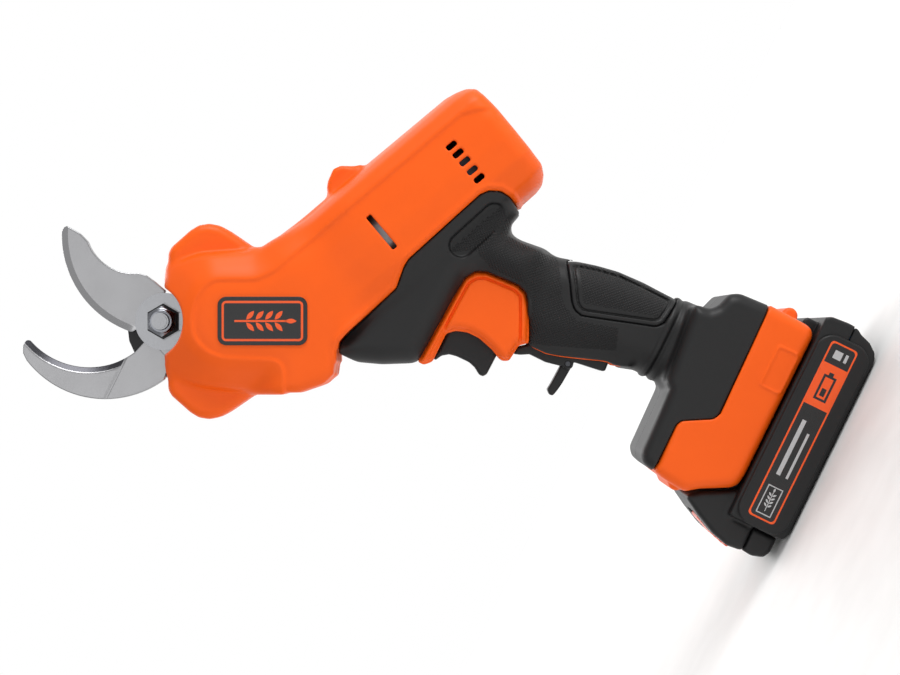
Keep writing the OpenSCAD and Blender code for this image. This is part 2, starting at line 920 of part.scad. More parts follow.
// A coil spring, each turn a closed ring.
module coil(r, wire, len, turns) {
  for (i = [0 : turns - 1])
    translate([0, 0, wire + i * (len - 2 * wire) / (turns - 1)])
    rotate_extrude()
    translate([r, 0])
    circle(r = wire);
}
module trigger_spring() {
  color(STEEL)
  translate([-26.8, 0, 171])
  rotate([0, 90, 0])
  coil(4, 0.7, 15.4, 7);
}
module switch_module() {
  color([0.12, 0.12, 0.13])
  difference() {
    slab(-8, 8)
    polygon([[-11, 160], [3.4, 161.6], [3, 177], [0, 181.6], [-11, 181.6]]);
    translate([-12, 0, 171])
    rotate([0, 90, 0])
    cylinder(r = 2.8, h = 12);
  }
}
LEVER_PIN = [-13.2, 143.4];
LEVER_PIN_R = 1.5;
TOGGLE_PIN = [-16.5, 125.3];
module safety_lever() {
  color(BLACK)
  difference() {
    union() {
      slab(-7.6, 7.6)
      polygon([[-23.6, 150.2], [-22.8, 151.2], [-19.6, 150.4], [-16.6, 146.6], [-12, 146], [-10.4, 143],
        [-11, 139.6], [-13.4, 136], [-11.4, 125.4], [-6.2, 111], [-6.6, 108.2], [-11.6, 107.8],
        [-12.4, 109], [-14.4, 122.6], [-18.8, 127.4], [-20.4, 134.7], [-20.4, 143.6], [-22.6, 147.4]]);
      cross_rod(LEVER_PIN[0], LEVER_PIN[1], 2.9, -7.6, 7.6);
      cross_rod(TOGGLE_PIN[0], TOGGLE_PIN[1], 2.7, -7.6, 7.6);
    }
    cross_rod(LEVER_PIN[0], LEVER_PIN[1], LEVER_PIN_R + 0.05, -20, 20);
    cross_rod(TOGGLE_PIN[0], TOGGLE_PIN[1], 1.2, -20, 20);
    slab(-5, 5)
    union() {
      translate(TOGGLE_PIN)
      circle(r = 3.2);
      polygon([[-30, 130], [-16, 128.4], [-14.4, 122.6], [-14.6, 116], [-30, 116]]);
    }
  }
}
module lever_pin() {
  color(STEEL)
  cross_rod(LEVER_PIN[0], LEVER_PIN[1], LEVER_PIN_R, -11.6, 11.6);
}
module lock_toggle() {
  color(BLACK)
  difference() {
    slab(-4.6, 4.6)
    union() {
      translate(TOGGLE_PIN)
      circle(r = 2.5);
      polygon([[-16.5, 127.8], [-31.6, 128.3], [-34, 124.8], [-16.5, 122.8]]);
    }
    cross_rod(TOGGLE_PIN[0], TOGGLE_PIN[1], 1.25, -20, 20);
  }
}
module toggle_pin() {
  color(STEEL)
  cross_rod(TOGGLE_PIN[0], TOGGLE_PIN[1], 1.2, -7.9, 7.9);
}

// ---- electrics ----
module control_board() {
  color([0.10, 0.30, 0.14])
  difference() {
    slab(-26, 26)
    polygon([[-27, 60], [32, 60], [32, 61.6], [-27, 61.6]]);
    translate([10, 0, 50])
    cylinder(r = 8, h = 20);
  }
}
module terminal_block() {
  color([0.14, 0.14, 0.15])
  difference() {
    slab(-18, 18)
    polygon([[-14, 45.2], [14, 45.2], [14, 54.5], [-14, 54.5]]);
    for (y = [-12, -4, 4, 12])
      translate([-12, y - 0.4, 45])
      cube([24, 0.8, 5]);
  }
}
module tool_blades() {
  color([0.78, 0.55, 0.30])
  for (y = [-12, -4, 4, 12])
    translate([-12, y - 0.4, 38.4])
    cube([24, 0.8, 11.6]);
}
// A round lead from a to b in the plane y = const.
module lead_run(a, b, y) {
  d = [b[0] - a[0], b[1] - a[1]];
  translate([a[0], y, a[1]])
  rotate([0, atan2(d[0], d[1]), 0])
  cylinder(r = 1.2, h = norm(d));
  translate([b[0], y, b[1]])
  sphere(r = 1.35);
}
LEADS = [[6, 54.5], [6, 62], [15, 100], [14, 130], [9, 150], [3, 158.6], [1, 161.5]];
module supply_leads() {
  color([0.60, 0.06, 0.05])
  for (y = [-2.4, 2.4])
    for (i = [0 : len(LEADS) - 3])
      lead_run(LEADS[i], LEADS[i + 1], y);
}

// ---- battery pack ----
PACK_LOW = [[-46.6, 15], [-46.6, 2.5], [-44.4, 0.6], [-40.5, 0], [46.9, 0], [50.3, 1.6], [53.5, 5.7],
  [55.2, 11],
  [56.9, 13.4], [57.3, 15]];
PACK_UP = [[-46.6, 15], [57.3, 15], [57.5, 18], [56.8, 26.4], [55.4, 29.2], [-46.6, 29.2]];
NOSE = [[-46.6, 15.5], [-59.2, 15.5], [-60.1, 22.9], [-57.7, 31.6], [-53.1, 41.3], [-48.4, 49.6],
  [-46.8, 49.6],
  [-43.2, 45.4], [-36.4, 33], [-34, 29.4], [-44, 27], [-46.6, 25]];
module pack_hollow() {
  slab(-33, 33)
  offset(delta = -2)
  union() {
    polygon(PACK_LOW);
    polygon(PACK_UP);
  }
}
module pack_base() {
  color(BLACK)
  difference() {
    slab(-34.8, 34.8)
    polygon(PACK_LOW);
    pack_hollow();
  }
}
module button_outline() {
  polygon([[-54.6, 39], [-58.9, 28.4], [-61.6, 19.4], [-55.8, 17.2], [-49, 36.9]]);
}
module pack_lid() {
  color(BLACK)
  difference() {
    union() {
      slab(-34.8, 34.8)
      polygon(PACK_UP);
      slab(-30, 30)
      polygon(NOSE);
      slab(-22.4, 22.4)
      polygon([[-38, 29], [52.8, 29], [52.8, 34.8], [51, 36], [46, 36.4], [46, 44.6], [-32, 44.6],
        [-34, 36]]);
      slab(-24.8, 24.8)
      polygon([[-30, 35.2], [46, 35.2], [46, 38.8], [-30, 38.8]]);
    }
    pack_hollow();
    // bay for the release button
    slab(-11.6, 11.6)
    polygon([[-54, 42], [-64, 18], [-56.6, 14.8], [-52.6, 15.6], [-45.4, 36.4]]);
    for (y = [-12, -4, 4, 12])
      translate([-14.5, y - 1.6, 37.6])
      cube([80, 3.2, 10]);
  }
}
module panel_outline() {
  polygon(concat(arc(41.5, 19.5, 8.5, 90, 0, 6), arc(41.5, 10.5, 8.5, 0, -90, 6), arc(-38, 10.5, 8.5,
    270, 180, 6),
    arc(-38, 19.5, 8.5, 180, 90, 6)));
}
module label_outline() {
  polygon([[-40, 9], [45, 9], [47, 11], [47, 20.5], [45, 22.5], [-40, 22.5], [-42, 20.5], [-42, 11]]);
}
module pack_panels() {
  color([0.07, 0.07, 0.075])
  for (s = [-1, 1])
    difference() {
      slab(s > 0 ? 34.8 : -pack_w, s > 0 ? pack_w : -34.8)
      panel_outline();
      slab(s > 0 ? pack_w - 0.8 : -pack_w - 1, s > 0 ? pack_w + 1 : -pack_w + 0.8)
      label_outline();
    }
}
module pack_labels() {
  color(ORANGE)
  for (s = [-1, 1])
    slab(s > 0 ? pack_w - 0.8 : -pack_w + 0.4, s > 0 ? pack_w - 0.4 : -pack_w + 0.8)
    label_outline();
}
CELL_X = 5.4;
module pack_cells() {
  color([0.12, 0.30, 0.55])
  for (i = [-2 : 2])
    cross_rod(CELL_X + i * cell_pitch, 14.4, cell_d / 2, -32, 32);
}
module cell_tabs() {
  color([0.72, 0.70, 0.66])
  for (t = [[-32.4, -44, -13], [-32.4, -6, 25], [-32.4, 32, 44], [32, -44, -32], [32, -25, 6],
    [32, 13, 44]])
    translate([CELL_X + t[1], t[0], 11])
    cube([t[2] - t[1], 0.4, 7]);
}
module pack_board() {
  color([0.10, 0.30, 0.14])
  slab(-27, 27)
  polygon([[-40, 24.8], [44, 24.8], [44, 26.2], [-40, 26.2]]);
}
module pack_clips() {
  color([0.78, 0.55, 0.30])
  for (y = [-12, -4, 4, 12])
    for (s = [-1, 1])
      translate([-10, y + s * 1.2 - 0.4, 37.6])
      cube([14, 0.8, 6]);
}
BUTTON_DIR = 20.9;
module release_button() {
  color(ORANGE)
  slab(-11, 11)
  button_outline();
}
module latch_spring() {
  color(STEEL)
  translate([-52.1, 0, 27.2])
  rotate([0, 90 + BUTTON_DIR, 0])
  coil(3, 0.5, 2.9, 3);
}
module pack_skirt() {
  color(BLACK)
  slab(-26, 26)
  polygon([[-46.6, 15.4], [-58.9, 15.4], [-59.4, 9.8], [-57.6, 4.4], [-54.2, 2.6], [-46.6, 2.6]]);
}

body_shell_near();
body_shell_far();
grip_shell_near();
grip_shell_far();
trigger_surround();
foot_shell_near();
foot_shell_far();
palm_pad();
badge_plate();
housing_screws();
hook_blade();
hook_screws();
gear_frame();
pivot_bolt();
pivot_nut();
lock_plate();
retaining_disc();
pivot_bush();
blade_bumper();
moving_blade();
drive_pin();
motor_can();
motor_magnets();
motor_cap();
armature();
sun_gear();
ring_gear();
planet_a();
planet_b();
planet_c();
planet_pins();
carrier();
lead_screw();
thrust_bearing();
screw_nut();
pull_yoke();
guide_pads();
guide_rails();
trigger();
trigger_spring();
switch_module();
safety_lever();
lever_pin();
lock_toggle();
toggle_pin();
control_board();
terminal_block();
tool_blades();
supply_leads();
pack_base();
pack_lid();
pack_panels();
pack_labels();
pack_cells();
cell_tabs();
pack_board();
pack_clips();
release_button();
latch_spring();
pack_skirt();
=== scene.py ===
"""Battery electric pruner: the finished pieces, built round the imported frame.

Lengths in the outlines are millimetres in the row frame (x, z), the head's frame (u back along
the head, v across it) or the drive's frame (t forwards along the motor shaft, h towards the
blade pivot). Meshes are in metres.
"""

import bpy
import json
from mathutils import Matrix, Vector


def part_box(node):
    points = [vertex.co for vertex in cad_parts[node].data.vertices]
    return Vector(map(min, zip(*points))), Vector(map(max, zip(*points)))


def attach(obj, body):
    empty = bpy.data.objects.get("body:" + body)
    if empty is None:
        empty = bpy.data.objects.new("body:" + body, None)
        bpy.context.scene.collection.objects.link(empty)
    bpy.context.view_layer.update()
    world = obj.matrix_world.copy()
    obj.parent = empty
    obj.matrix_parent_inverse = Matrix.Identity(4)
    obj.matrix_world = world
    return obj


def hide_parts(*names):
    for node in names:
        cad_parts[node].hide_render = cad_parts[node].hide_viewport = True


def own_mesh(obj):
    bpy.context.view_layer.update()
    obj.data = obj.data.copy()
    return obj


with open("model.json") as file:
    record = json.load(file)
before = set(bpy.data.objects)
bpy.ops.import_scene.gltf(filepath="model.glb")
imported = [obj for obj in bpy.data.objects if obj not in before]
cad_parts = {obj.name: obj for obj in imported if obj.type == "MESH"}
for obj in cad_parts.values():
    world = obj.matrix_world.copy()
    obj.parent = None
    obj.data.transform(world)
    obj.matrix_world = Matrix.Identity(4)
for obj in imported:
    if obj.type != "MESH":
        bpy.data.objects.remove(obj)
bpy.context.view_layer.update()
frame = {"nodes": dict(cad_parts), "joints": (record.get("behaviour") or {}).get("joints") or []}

import json
import logging
import math
from dataclasses import dataclass
from enum import Enum

import bmesh
import bpy
import numpy as np
import openvdb
from mathutils import Matrix, Vector

log = logging.getLogger("pruner")
MM = 0.001
Points = list[tuple[float, float]]


def joint(name: str) -> dict:
    """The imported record's joint of that name."""
    return next(j for j in frame["joints"] if j["name"] == name)


@dataclass(frozen=True)
class Side:
    """A side-view frame: its origin in x and z, its first axis, and which way the second turns."""

    x: float
    z: float
    ax: float
    az: float
    turn: float = 1.0

    def local(self, x: np.ndarray, z: np.ndarray) -> tuple[np.ndarray, np.ndarray]:
        """Coordinates in this frame of points in the row frame."""
        dx, dz = x - self.x, z - self.z
        return dx * self.ax + dz * self.az, self.turn * (dz * self.ax - dx * self.az)

    def row(self, points: Points) -> Points:
        """Row-frame x and z of points given in this frame."""
        return [(self.x + a * self.ax - self.turn * b * self.az,
                 self.z + a * self.az + self.turn * b * self.ax) for a, b in points]


_pivot = [1000 * v for v in joint("blade_swing")["pos_m"]]
_motor = joint("motor_spin")
HEAD_TILT = math.radians(63.8)
ROW = Side(0, 0, 1, 0)
HEAD = Side(_pivot[0], _pivot[2], math.cos(HEAD_TILT), -math.sin(HEAD_TILT))
DRIVE = Side(1000 * _motor["pos_m"][0], 1000 * _motor["pos_m"][2], _motor["axis"][0], _motor["axis"][2], -1)


def arc(cx: float, cy: float, r: float, a0: float, a1: float, n: int = 12) -> Points:
    """Points along a circle's arc, angles in degrees."""
    turns = [math.radians(a0 + (a1 - a0) * i / n) for i in range(n + 1)]
    return [(cx + r * math.cos(a), cy + r * math.sin(a)) for a in turns]


def rectangle(x0: float, x1: float, z0: float, z1: float) -> Points:
    """A plain rectangle's corners."""
    return [(x0, z0), (x1, z0), (x1, z1), (x0, z1)]


def rounded(x0: float, x1: float, z0: float, z1: float, r: float, n: int) -> Points:
    """A rectangle with its corners rounded to r, each drawn in n steps."""
    return (arc(x1 - r, z1 - r, r, 90, 0, n) + arc(x1 - r, z0 + r, r, 0, -90, n)
            + arc(x0 + r, z0 + r, r, -90, -180, n) + arc(x0 + r, z1 - r, r, 180, 90, n))


def helix(r: float, turns: int, low: float, high: float) -> list[tuple[float, float, float]]:
    """Points up a coil of radius r from one height to another, 24 to a turn."""
    n = turns * 24
    return [(r * math.cos(math.tau * turns * i / n), r * math.sin(math.tau * turns * i / n),
             low + (high - low) * i / n) for i in range(n + 1)]


def aimed(start: Vector, way: Vector) -> Matrix:
    """The place of a piece drawn up +Z that starts at start, in millimetres, and points along way."""
    return Matrix.Translation(start * MM) @ way.to_track_quat("Z", "Y").to_matrix().to_4x4()


def sprig(x: float, y: float, half: float) -> list[Points]:
    """A plain sprig of leaves on a straight stem.

    Args:
        x: its middle along the stem.
        y: its middle across it.
        half: half its length.

    Returns:
        One outline for the stem and one for each leaf.
    """
    thick = half * 0.035
    shapes = [[(x - half, y - thick), (x + half * 0.85, y - thick), (x + half * 0.85, y + thick),
               (x - half, y + thick)]]
    leaves = [(-0.62, 48), (-0.28, 48), (0.06, 48), (0.40, 48), (0.74, 0)]
    for along, angle in leaves:
        for turn in ((1, -1) if angle else (1,)):
            a = math.radians(angle * turn)
            length, width = half * 0.42, half * 0.085
            edge = [(i / 8, width * math.sin(math.pi * i / 8) ** 0.9) for i in range(9)]
            edge = edge + [(i, -w) for i, w in edge[-2:0:-1]]
            shapes.append([(x + half * along + length * (0.16 + i) * math.cos(a) - w * math.sin(a),
                            y + length * (0.16 + i) * math.sin(a) + w * math.cos(a)) for i, w in edge])
    return shapes


# ---------------------------------------------------------------- fields


def smooth_max(a: np.ndarray, b: np.ndarray, k: float) -> np.ndarray:
    """The larger of two fields, with the corner between them rounded over about k."""
    h = np.maximum(k - np.abs(a - b), 0) / k
    return np.maximum(a, b) + h * h * k * 0.25


def smooth_min(a: np.ndarray, b: np.ndarray, k: float) -> np.ndarray:
    """The smaller of two fields, with a fillet of about k between them."""
    return -smooth_max(-a, -b, k)


def cut(body: np.ndarray, *tools: np.ndarray) -> np.ndarray:
    """A body with each of the tools taken out of it."""
    for tool in tools:
        body = np.maximum(body, -tool)
    return body


def ramp(value: np.ndarray) -> np.ndarray:
    """An eased step from 0 to 1 as value goes from 0 to 1."""
    value = np.clip(value, 0, 1)
    return value * value * (3 - 2 * value)


class Field:
    """A box of sample points on which shapes are signed distances in millimetres, negative inside."""

    def __init__(self, low: tuple[float, float, float], high: tuple[float, float, float], step: float) -> None:
        """Args: low and high are the box's corners, step is the spacing, all in millimetres."""
        self.low, self.step = low, step
        x, y, z = (np.arange(a, b + step, step) for a, b in zip(low, high))
        self.x, self.z = np.meshgrid(x, z, indexing="ij")
        self.y = y[None, :, None]

    def outline(self, points: Points, side: Side = ROW, soft: float = 0.0) -> np.ndarray:
        """Distance to a closed side-view outline.

        Args:
            points: the outline's corners in the side's frame.
            side: the frame they are given in.
            soft: over how many millimetres the corners are eased.

        Returns:
            A flat field over x and z.
        """
        corners = side.row(points)
        best = np.full(self.x.shape, 1e9)
        inside = np.zeros(self.x.shape, bool)
        for (x0, z0), (x1, z1) in zip(corners, corners[1:] + corners[:1]):
            ex, ez = x1 - x0, z1 - z0
            px, pz = self.x - x0, self.z - z0
            t = np.clip((px * ex + pz * ez) / max(ex * ex + ez * ez, 1e-12), 0, 1)
            best = np.minimum(best, (px - t * ex) ** 2 + (pz - t * ez) ** 2)
            crosses = (z0 > self.z) != (z1 > self.z)
            with np.errstate(divide="ignore", invalid="ignore"):
                inside ^= crosses & (px < ex * pz / ez)
        flat = np.sqrt(best)
        return self.ease(np.where(inside, -flat, flat), soft)

    def ease(self, flat: np.ndarray, soft: float) -> np.ndarray:
        """A flat field blurred over about soft millimetres."""
        for _ in range(round(2 * (soft / self.step) ** 2)):
            wide = np.pad(flat, 1, mode="reflect", reflect_type="odd")
            flat = (wide[:-2, 1:-1] + wide[2:, 1:-1] + wide[1:-1, :-2] + wide[1:-1, 2:] + 4 * flat) / 8
        return flat

    def circle(self, x: float, z: float, r: float) -> np.ndarray:
        """Distance to a circle in the side view."""
        return np.hypot(self.x - x, self.z - z) - r

    def slab(self, flat: np.ndarray, y0: float, y1: float, r: float) -> np.ndarray:
        """A side-view shape made solid from y0 to y1, with its edges rounded to r."""
        a = flat[:, None, :] + r
        b = np.abs(self.y - (y0 + y1) / 2) - (y1 - y0) / 2 + r
        return np.minimum(np.maximum(a, b), 0) + np.hypot(np.maximum(a, 0), np.maximum(b, 0)) - r

    def oval(self, flat: np.ndarray, half: float, reach: float, power: float = 2.0) -> np.ndarray:
        """A side-view shape with a rounded section: half wide at reach inside its outline."""
        a = np.maximum(flat[:, None, :] + reach, 0) / reach
        b = np.abs(self.y) / half
        return ((a ** power + b ** power) ** (1 / power) - 1) * min(half, reach)

    def through(self, flat: np.ndarray) -> np.ndarray:
        """A side-view shape that runs right through the box."""
        return flat[:, None, :] + 0 * self.y

    def mesh(self, name: str, solid: np.ndarray) -> bpy.types.Object:
        """The field's zero surface as an object of quads.

        Args:
            name: the piece's name.
            solid: the whole field.

        Returns:
            The new object, at the origin, in metres.
        """
        grid = openvdb.FloatGrid()
        grid.background = 3.0
        solid = np.broadcast_to(solid, (self.x.shape[0], self.y.size, self.x.shape[1]))
        grid.copyFromArray(np.pad(solid, 1, constant_values=3.0).astype(np.float32))
        points, _, quads = grid.convertToPolygons(isovalue=0.0, adaptivity=0.0)
        points = ((points - 1) * self.step + np.array(self.low)) * MM
        return add_mesh(name, points, quads[:, ::-1])


def placed(name: str, data: bpy.types.ID) -> bpy.types.Object:
    """A new object in the scene that holds the data given."""
    piece = bpy.data.objects.new(name, data)
    bpy.context.scene.collection.objects.link(piece)
    return piece


def add_mesh(name: str, points: np.ndarray, faces: np.ndarray) -> bpy.types.Object:
    """A smooth-shaded object with its faces pointing outwards.

    Args:
        name: the piece's name.
        points: corners in metres.
        faces: corner numbers of each face, all faces with the same number of corners.

    Returns:
        The new object.
    """
    p = points[faces]
    volume = (np.einsum("ij,ij->i", p[:, 0], np.cross(p[:, 1], p[:, 2]))
              + (np.einsum("ij,ij->i", p[:, 0], np.cross(p[:, 2], p[:, 3])) if faces.shape[1] == 4 else 0)).sum()
    if volume < 0:
        faces = faces[:, ::-1]
    data = bpy.data.meshes.new(name)
    data.from_pydata(points.tolist(), [], faces.tolist())
    data.polygons.foreach_set("use_smooth", [True] * len(data.polygons))
    return placed(name, data)


def mirrored(piece: bpy.types.Object, name: str) -> bpy.types.Object:
    """A copy of a piece on the other side of the middle plane."""
    data = piece.data.copy()
    data.name = name
    data.transform(Matrix.Scale(-1, 4, (0, 1, 0)))
    data.flip_normals()
    return placed(name, data)


def halve(piece: bpy.types.Object, at: float, cap: bool = True) -> bpy.types.Object:
    """Keeps the near side of a piece, cut flat at the height y = at millimetres.

    Args:
        piece: a closed piece that crosses the plane.
        at: the plane's y.
        cap: whether to close the cut.

    Returns:
        The same piece.
    """
    mesh = bmesh.new()
    mesh.from_mesh(piece.data)
    cut = bmesh.ops.bisect_plane(mesh, geom=mesh.verts[:] + mesh.edges[:] + mesh.faces[:], dist=1e-7,
                                 plane_co=(0, at * MM, 0), plane_no=(0, 1, 0), clear_outer=True)
    if cap:
        rim = [e for e in cut["geom_cut"] if isinstance(e, bmesh.types.BMEdge) and e.is_boundary]
        done = bmesh.ops.triangle_fill(mesh, use_beauty=False, edges=rim, normal=(0, 1, 0))
        for face in done["geom"]:
            if isinstance(face, bmesh.types.BMFace):
                face.smooth = False
                if face.normal.y < 0:
                    face.normal_flip()
    mesh.to_mesh(piece.data)
    mesh.free()
    return piece


def both_sides(piece: bpy.types.Object) -> bpy.types.Object:
    """A symmetrical piece made whole from its near half."""
    modify(halve(piece, 0.0, cap=False), "MIRROR", use_axis=(False, True, False), merge_threshold=2e-6)
    return settle(piece, Matrix.Identity(4))


def thinned(piece: bpy.types.Object, ratio: float) -> bpy.types.Object:
    """A piece with its flat areas' faces merged, down to about ratio of their number."""
    modify(piece, "DECIMATE", ratio=ratio)
    return settle(piece, Matrix.Identity(4))


# ---------------------------------------------------------------- modifiers and cages


def modify(piece: bpy.types.Object, kind: str, **values: object) -> bpy.types.Object:
    """Adds one live modifier with its settings."""
    modifier = piece.modifiers.new(kind.title(), kind)
    for key, value in values.items():
        setattr(modifier, key, value)
    return piece


def settle(piece: bpy.types.Object, place: Matrix) -> bpy.types.Object:
    """Applies a piece's modifiers, then moves its mesh to its place."""
    graph = bpy.context.evaluated_depsgraph_get()
    done = bpy.data.meshes.new_from_object(piece.evaluated_get(graph))
    done.transform(place)
    if piece.type == "CURVE":
        solid = placed(piece.name, done)
        name = piece.name
        bpy.data.objects.remove(piece)
        solid.name = name
        return solid
    piece.modifiers.clear()
    piece.data = done
    return piece


def plate(name: str, outlines: list[Points], y0: float, y1: float, bevel: float = 0.0,
          side: Side = ROW) -> bpy.types.Object:
    """Flat plates with side-view outlines, as one piece.

    Args:
        name: the piece's name.
        outlines: one closed outline for each plate.
        y0: their near face, millimetres.
        y1: their far face.
        bevel: width of their rounded edges.
        side: the outlines' frame.

    Returns:
        The piece, with a live bevel.
    """
    mesh = bmesh.new()
    for points in outlines:
        near = [mesh.verts.new((x * MM, y0 * MM, z * MM)) for x, z in side.row(points)]
        far = [mesh.verts.new((v.co.x, y1 * MM, v.co.z)) for v in near]
        mesh.faces.new(near)
        mesh.faces.new(far[::-1])
        for i, corner in enumerate(near):
            mesh.faces.new((corner, near[i - 1], far[i - 1], far[i]))
    bmesh.ops.recalc_face_normals(mesh, faces=mesh.faces)
    data = bpy.data.meshes.new(name)
    mesh.to_mesh(data)
    mesh.free()
    piece = placed(name, data)
    if bevel:
        modify(piece, "BEVEL", width=bevel * MM, segments=3, limit_method="ANGLE", angle_limit=math.radians(50))
        data.polygons.foreach_set("use_smooth", [True] * len(data.polygons))
        modify(piece, "WEIGHTED_NORMAL")
    return piece


def turned(name: str, profile: Points, place: Matrix, steps: int = 48) -> bpy.types.Object:
    """A turned piece: a profile of (radius, height), from top to bottom, screwed round +Z and placed."""
    data = bpy.data.meshes.new(name)
    data.from_pydata([(r * MM, 0, h * MM) for r, h in profile], [(i, i + 1) for i in range(len(profile) - 1)], [])
    piece = placed(name, data)
    modify(piece, "SCREW", angle=math.tau, steps=steps, render_steps=steps, merge_threshold=1e-6,
           use_merge_vertices=True, use_smooth_shade=True)
    modify(piece, "BEVEL", width=0.12 * MM, segments=2, limit_method="ANGLE", angle_limit=math.radians(40))
    return settle(piece, place)


def wire(name: str, points: list[tuple[float, float, float]], radius: float,
         closed: bool = False) -> bpy.types.Object:
    """A round wire along points in millimetres, as a curve with its own bevel."""
    curve = bpy.data.curves.new(name, "CURVE")
    curve.dimensions = "3D"
    spline = curve.splines.new("POLY")
    spline.points.add(len(points) - 1)
    for point, p in zip(spline.points, points):
        point.co = (p[0] * MM, p[1] * MM, p[2] * MM, 1)
    spline.use_cyclic_u = closed
    spline.use_smooth = True
    curve.bevel_depth = radius * MM
    curve.bevel_resolution = 3
    curve.use_fill_caps = True
    return placed(name, curve)


# ---------------------------------------------------------------- finishes


def linear(hex_value: str) -> tuple[float, float, float, float]:
    """An sRGB hex value as linear RGBA."""
    parts = [int(hex_value[i:i + 2], 16) / 255 for i in (1, 3, 5)]
    return (*[c / 12.92 if c <= 0.04045 else ((c + 0.055) / 1.055) ** 2.4 for c in parts], 1.0)


def add_node(tree: bpy.types.NodeTree, kind: str, values: dict | None = None, links: dict | None = None,
             **settings: object) -> bpy.types.Node:
    """Adds a shader node.

    Args:
        tree: the material's tree.
        kind: the node's type.
        values: socket name to constant.
        links: socket name to the output that feeds it.
        settings: the node's own settings.

    Returns:
        The node.
    """
    node = tree.nodes.new(kind)
    for key, value in settings.items():
        setattr(node, key, value)
    for key, value in (values or {}).items():
        node.inputs[key].default_value = value
    for key, output in (links or {}).items():
        tree.links.new(output, node.inputs[key])
    return node


class Pattern(Enum):
    """How a moulded surface's tool was textured."""

    SPARK = "spark eroded"
    MESH = "fine raised mesh"
    GLOSS = "polished"


@dataclass(frozen=True)
class Finish:
    """One finish: what all of them share."""

    name: str
    colour: str
    roughness: float = 0.4

    def begin(self) -> tuple[bpy.types.Material, bpy.types.NodeTree, bpy.types.Node, bpy.types.Node]:
        """Starts the material.

        Returns:
            The material, its tree, its surface shader and its object coordinates.
        """
        material = bpy.data.materials.new(self.name)
        material.use_nodes = True
        tree = material.node_tree
        tree.nodes.clear()
        shader = add_node(tree, "ShaderNodeBsdfPrincipled",
                          {"Base Color": linear(self.colour), "Roughness": self.roughness})
        add_node(tree, "ShaderNodeOutputMaterial", links={"Surface": shader.outputs[0]})
        material.diffuse_color = linear(self.colour)
        return material, tree, shader, add_node(tree, "ShaderNodeTexCoord")

    def make(self) -> bpy.types.Material:
        """Builds the material."""
        raise NotImplementedError


@dataclass(frozen=True)
class Moulded(Finish):
    """Injection-moulded plastic or elastomer: a faint pigment drift, and the tool's texture as bump."""

    pattern: Pattern = Pattern.SPARK
    grain_mm: float = 0.7
    depth_mm: float = 0.02
    specular: float = 0.5

    def make(self) -> bpy.types.Material:
        """Builds the material."""
        material, tree, shader, place = self.begin()
        shader.inputs["IOR"].default_value = 1.5
        shader.inputs["Specular IOR Level"].default_value = self.specular
        where = place.outputs["Object"]
        drift = add_node(tree, "ShaderNodeTexNoise", {"Scale": 45.0, "Detail": 3.0}, {"Vector": where})
        base = linear(self.colour)
        tint = add_node(tree, "ShaderNodeMix", {"Factor": 0.5}, {"Factor": drift.outputs["Fac"]},
                        data_type="RGBA")
        tint.inputs[6].default_value = tuple(c * 0.94 for c in base[:3]) + (1,)
        tint.inputs[7].default_value = tuple(min(c * 1.06, 1) for c in base[:3]) + (1,)
        tree.links.new(tint.outputs[2], shader.inputs["Base Color"])
        if self.pattern is Pattern.MESH:
            # A woven mesh of raised dots, in rows at 45 degrees.
            turn = add_node(tree, "ShaderNodeMapping", {"Rotation": (0, math.radians(45), 0)}, {"Vector": where})
            waves = [add_node(tree, "ShaderNodeTexWave",
                              {"Scale": 0.31416 / (self.grain_mm * MM), "Distortion": 0.0},
                              {"Vector": turn.outputs[0]}, bands_direction=axis) for axis in ("X", "Z")]
            grain = add_node(tree, "ShaderNodeMath",
                             links={0: waves[0].outputs["Fac"], 1: waves[1].outputs["Fac"]},
                             operation="MULTIPLY").outputs[0]
        else:
            grain = add_node(tree, "ShaderNodeTexNoise", {"Scale": 1 / (self.grain_mm * MM), "Detail": 2.0},
                             {"Vector": where}).outputs["Fac"]
        bump = add_node(tree, "ShaderNodeBump", {"Strength": 1.0, "Distance": self.depth_mm * MM},
                        {"Height": grain})
        tree.links.new(bump.outputs[0], shader.inputs["Normal"])
        rough = add_node(tree, "ShaderNodeMapRange",
                         {"To Min": self.roughness - 0.05, "To Max": self.roughness + 0.06},
                         {"Value": drift.outputs["Fac"]})
        tree.links.new(rough.outputs[0], shader.inputs["Roughness"])
        return material


@dataclass(frozen=True)
class Ground(Finish):
    """Ground or turned steel: fine parallel grinding lines in the roughness and the bump."""

    line_mm: float = 0.35
    direction: tuple[float, float, float] = (1, 1, 0.04)
    depth_mm: float = 0.006

    def make(self) -> bpy.types.Material:
        """Builds the material."""
        material, tree, shader, place = self.begin()
        shader.inputs["Metallic"].default_value = 1.0
        lines = add_node(tree, "ShaderNodeMapping", {"Scale": self.direction},
                         {"Vector": place.outputs["Object"]})
        scratch = add_node(tree, "ShaderNodeTexNoise", {"Scale": 1 / (self.line_mm * MM), "Detail": 3.0},
                           {"Vector": lines.outputs[0]})
        stain = add_node(tree, "ShaderNodeTexNoise", {"Scale": 60.0, "Detail": 2.0},
                         {"Vector": place.outputs["Object"]})
        both = add_node(tree, "ShaderNodeMath", links={0: scratch.outputs["Fac"], 1: stain.outputs["Fac"]},
                        operation="MULTIPLY")
        rough = add_node(tree, "ShaderNodeMapRange",
                         {"To Min": self.roughness - 0.08, "To Max": self.roughness + 0.22},
                         {"Value": both.outputs[0]})
        bump = add_node(tree, "ShaderNodeBump", {"Strength": 1.0, "Distance": self.depth_mm * MM},
                        {"Height": scratch.outputs["Fac"]})
        tree.links.new(rough.outputs[0], shader.inputs["Roughness"])
        tree.links.new(bump.outputs[0], shader.inputs["Normal"])
        return material


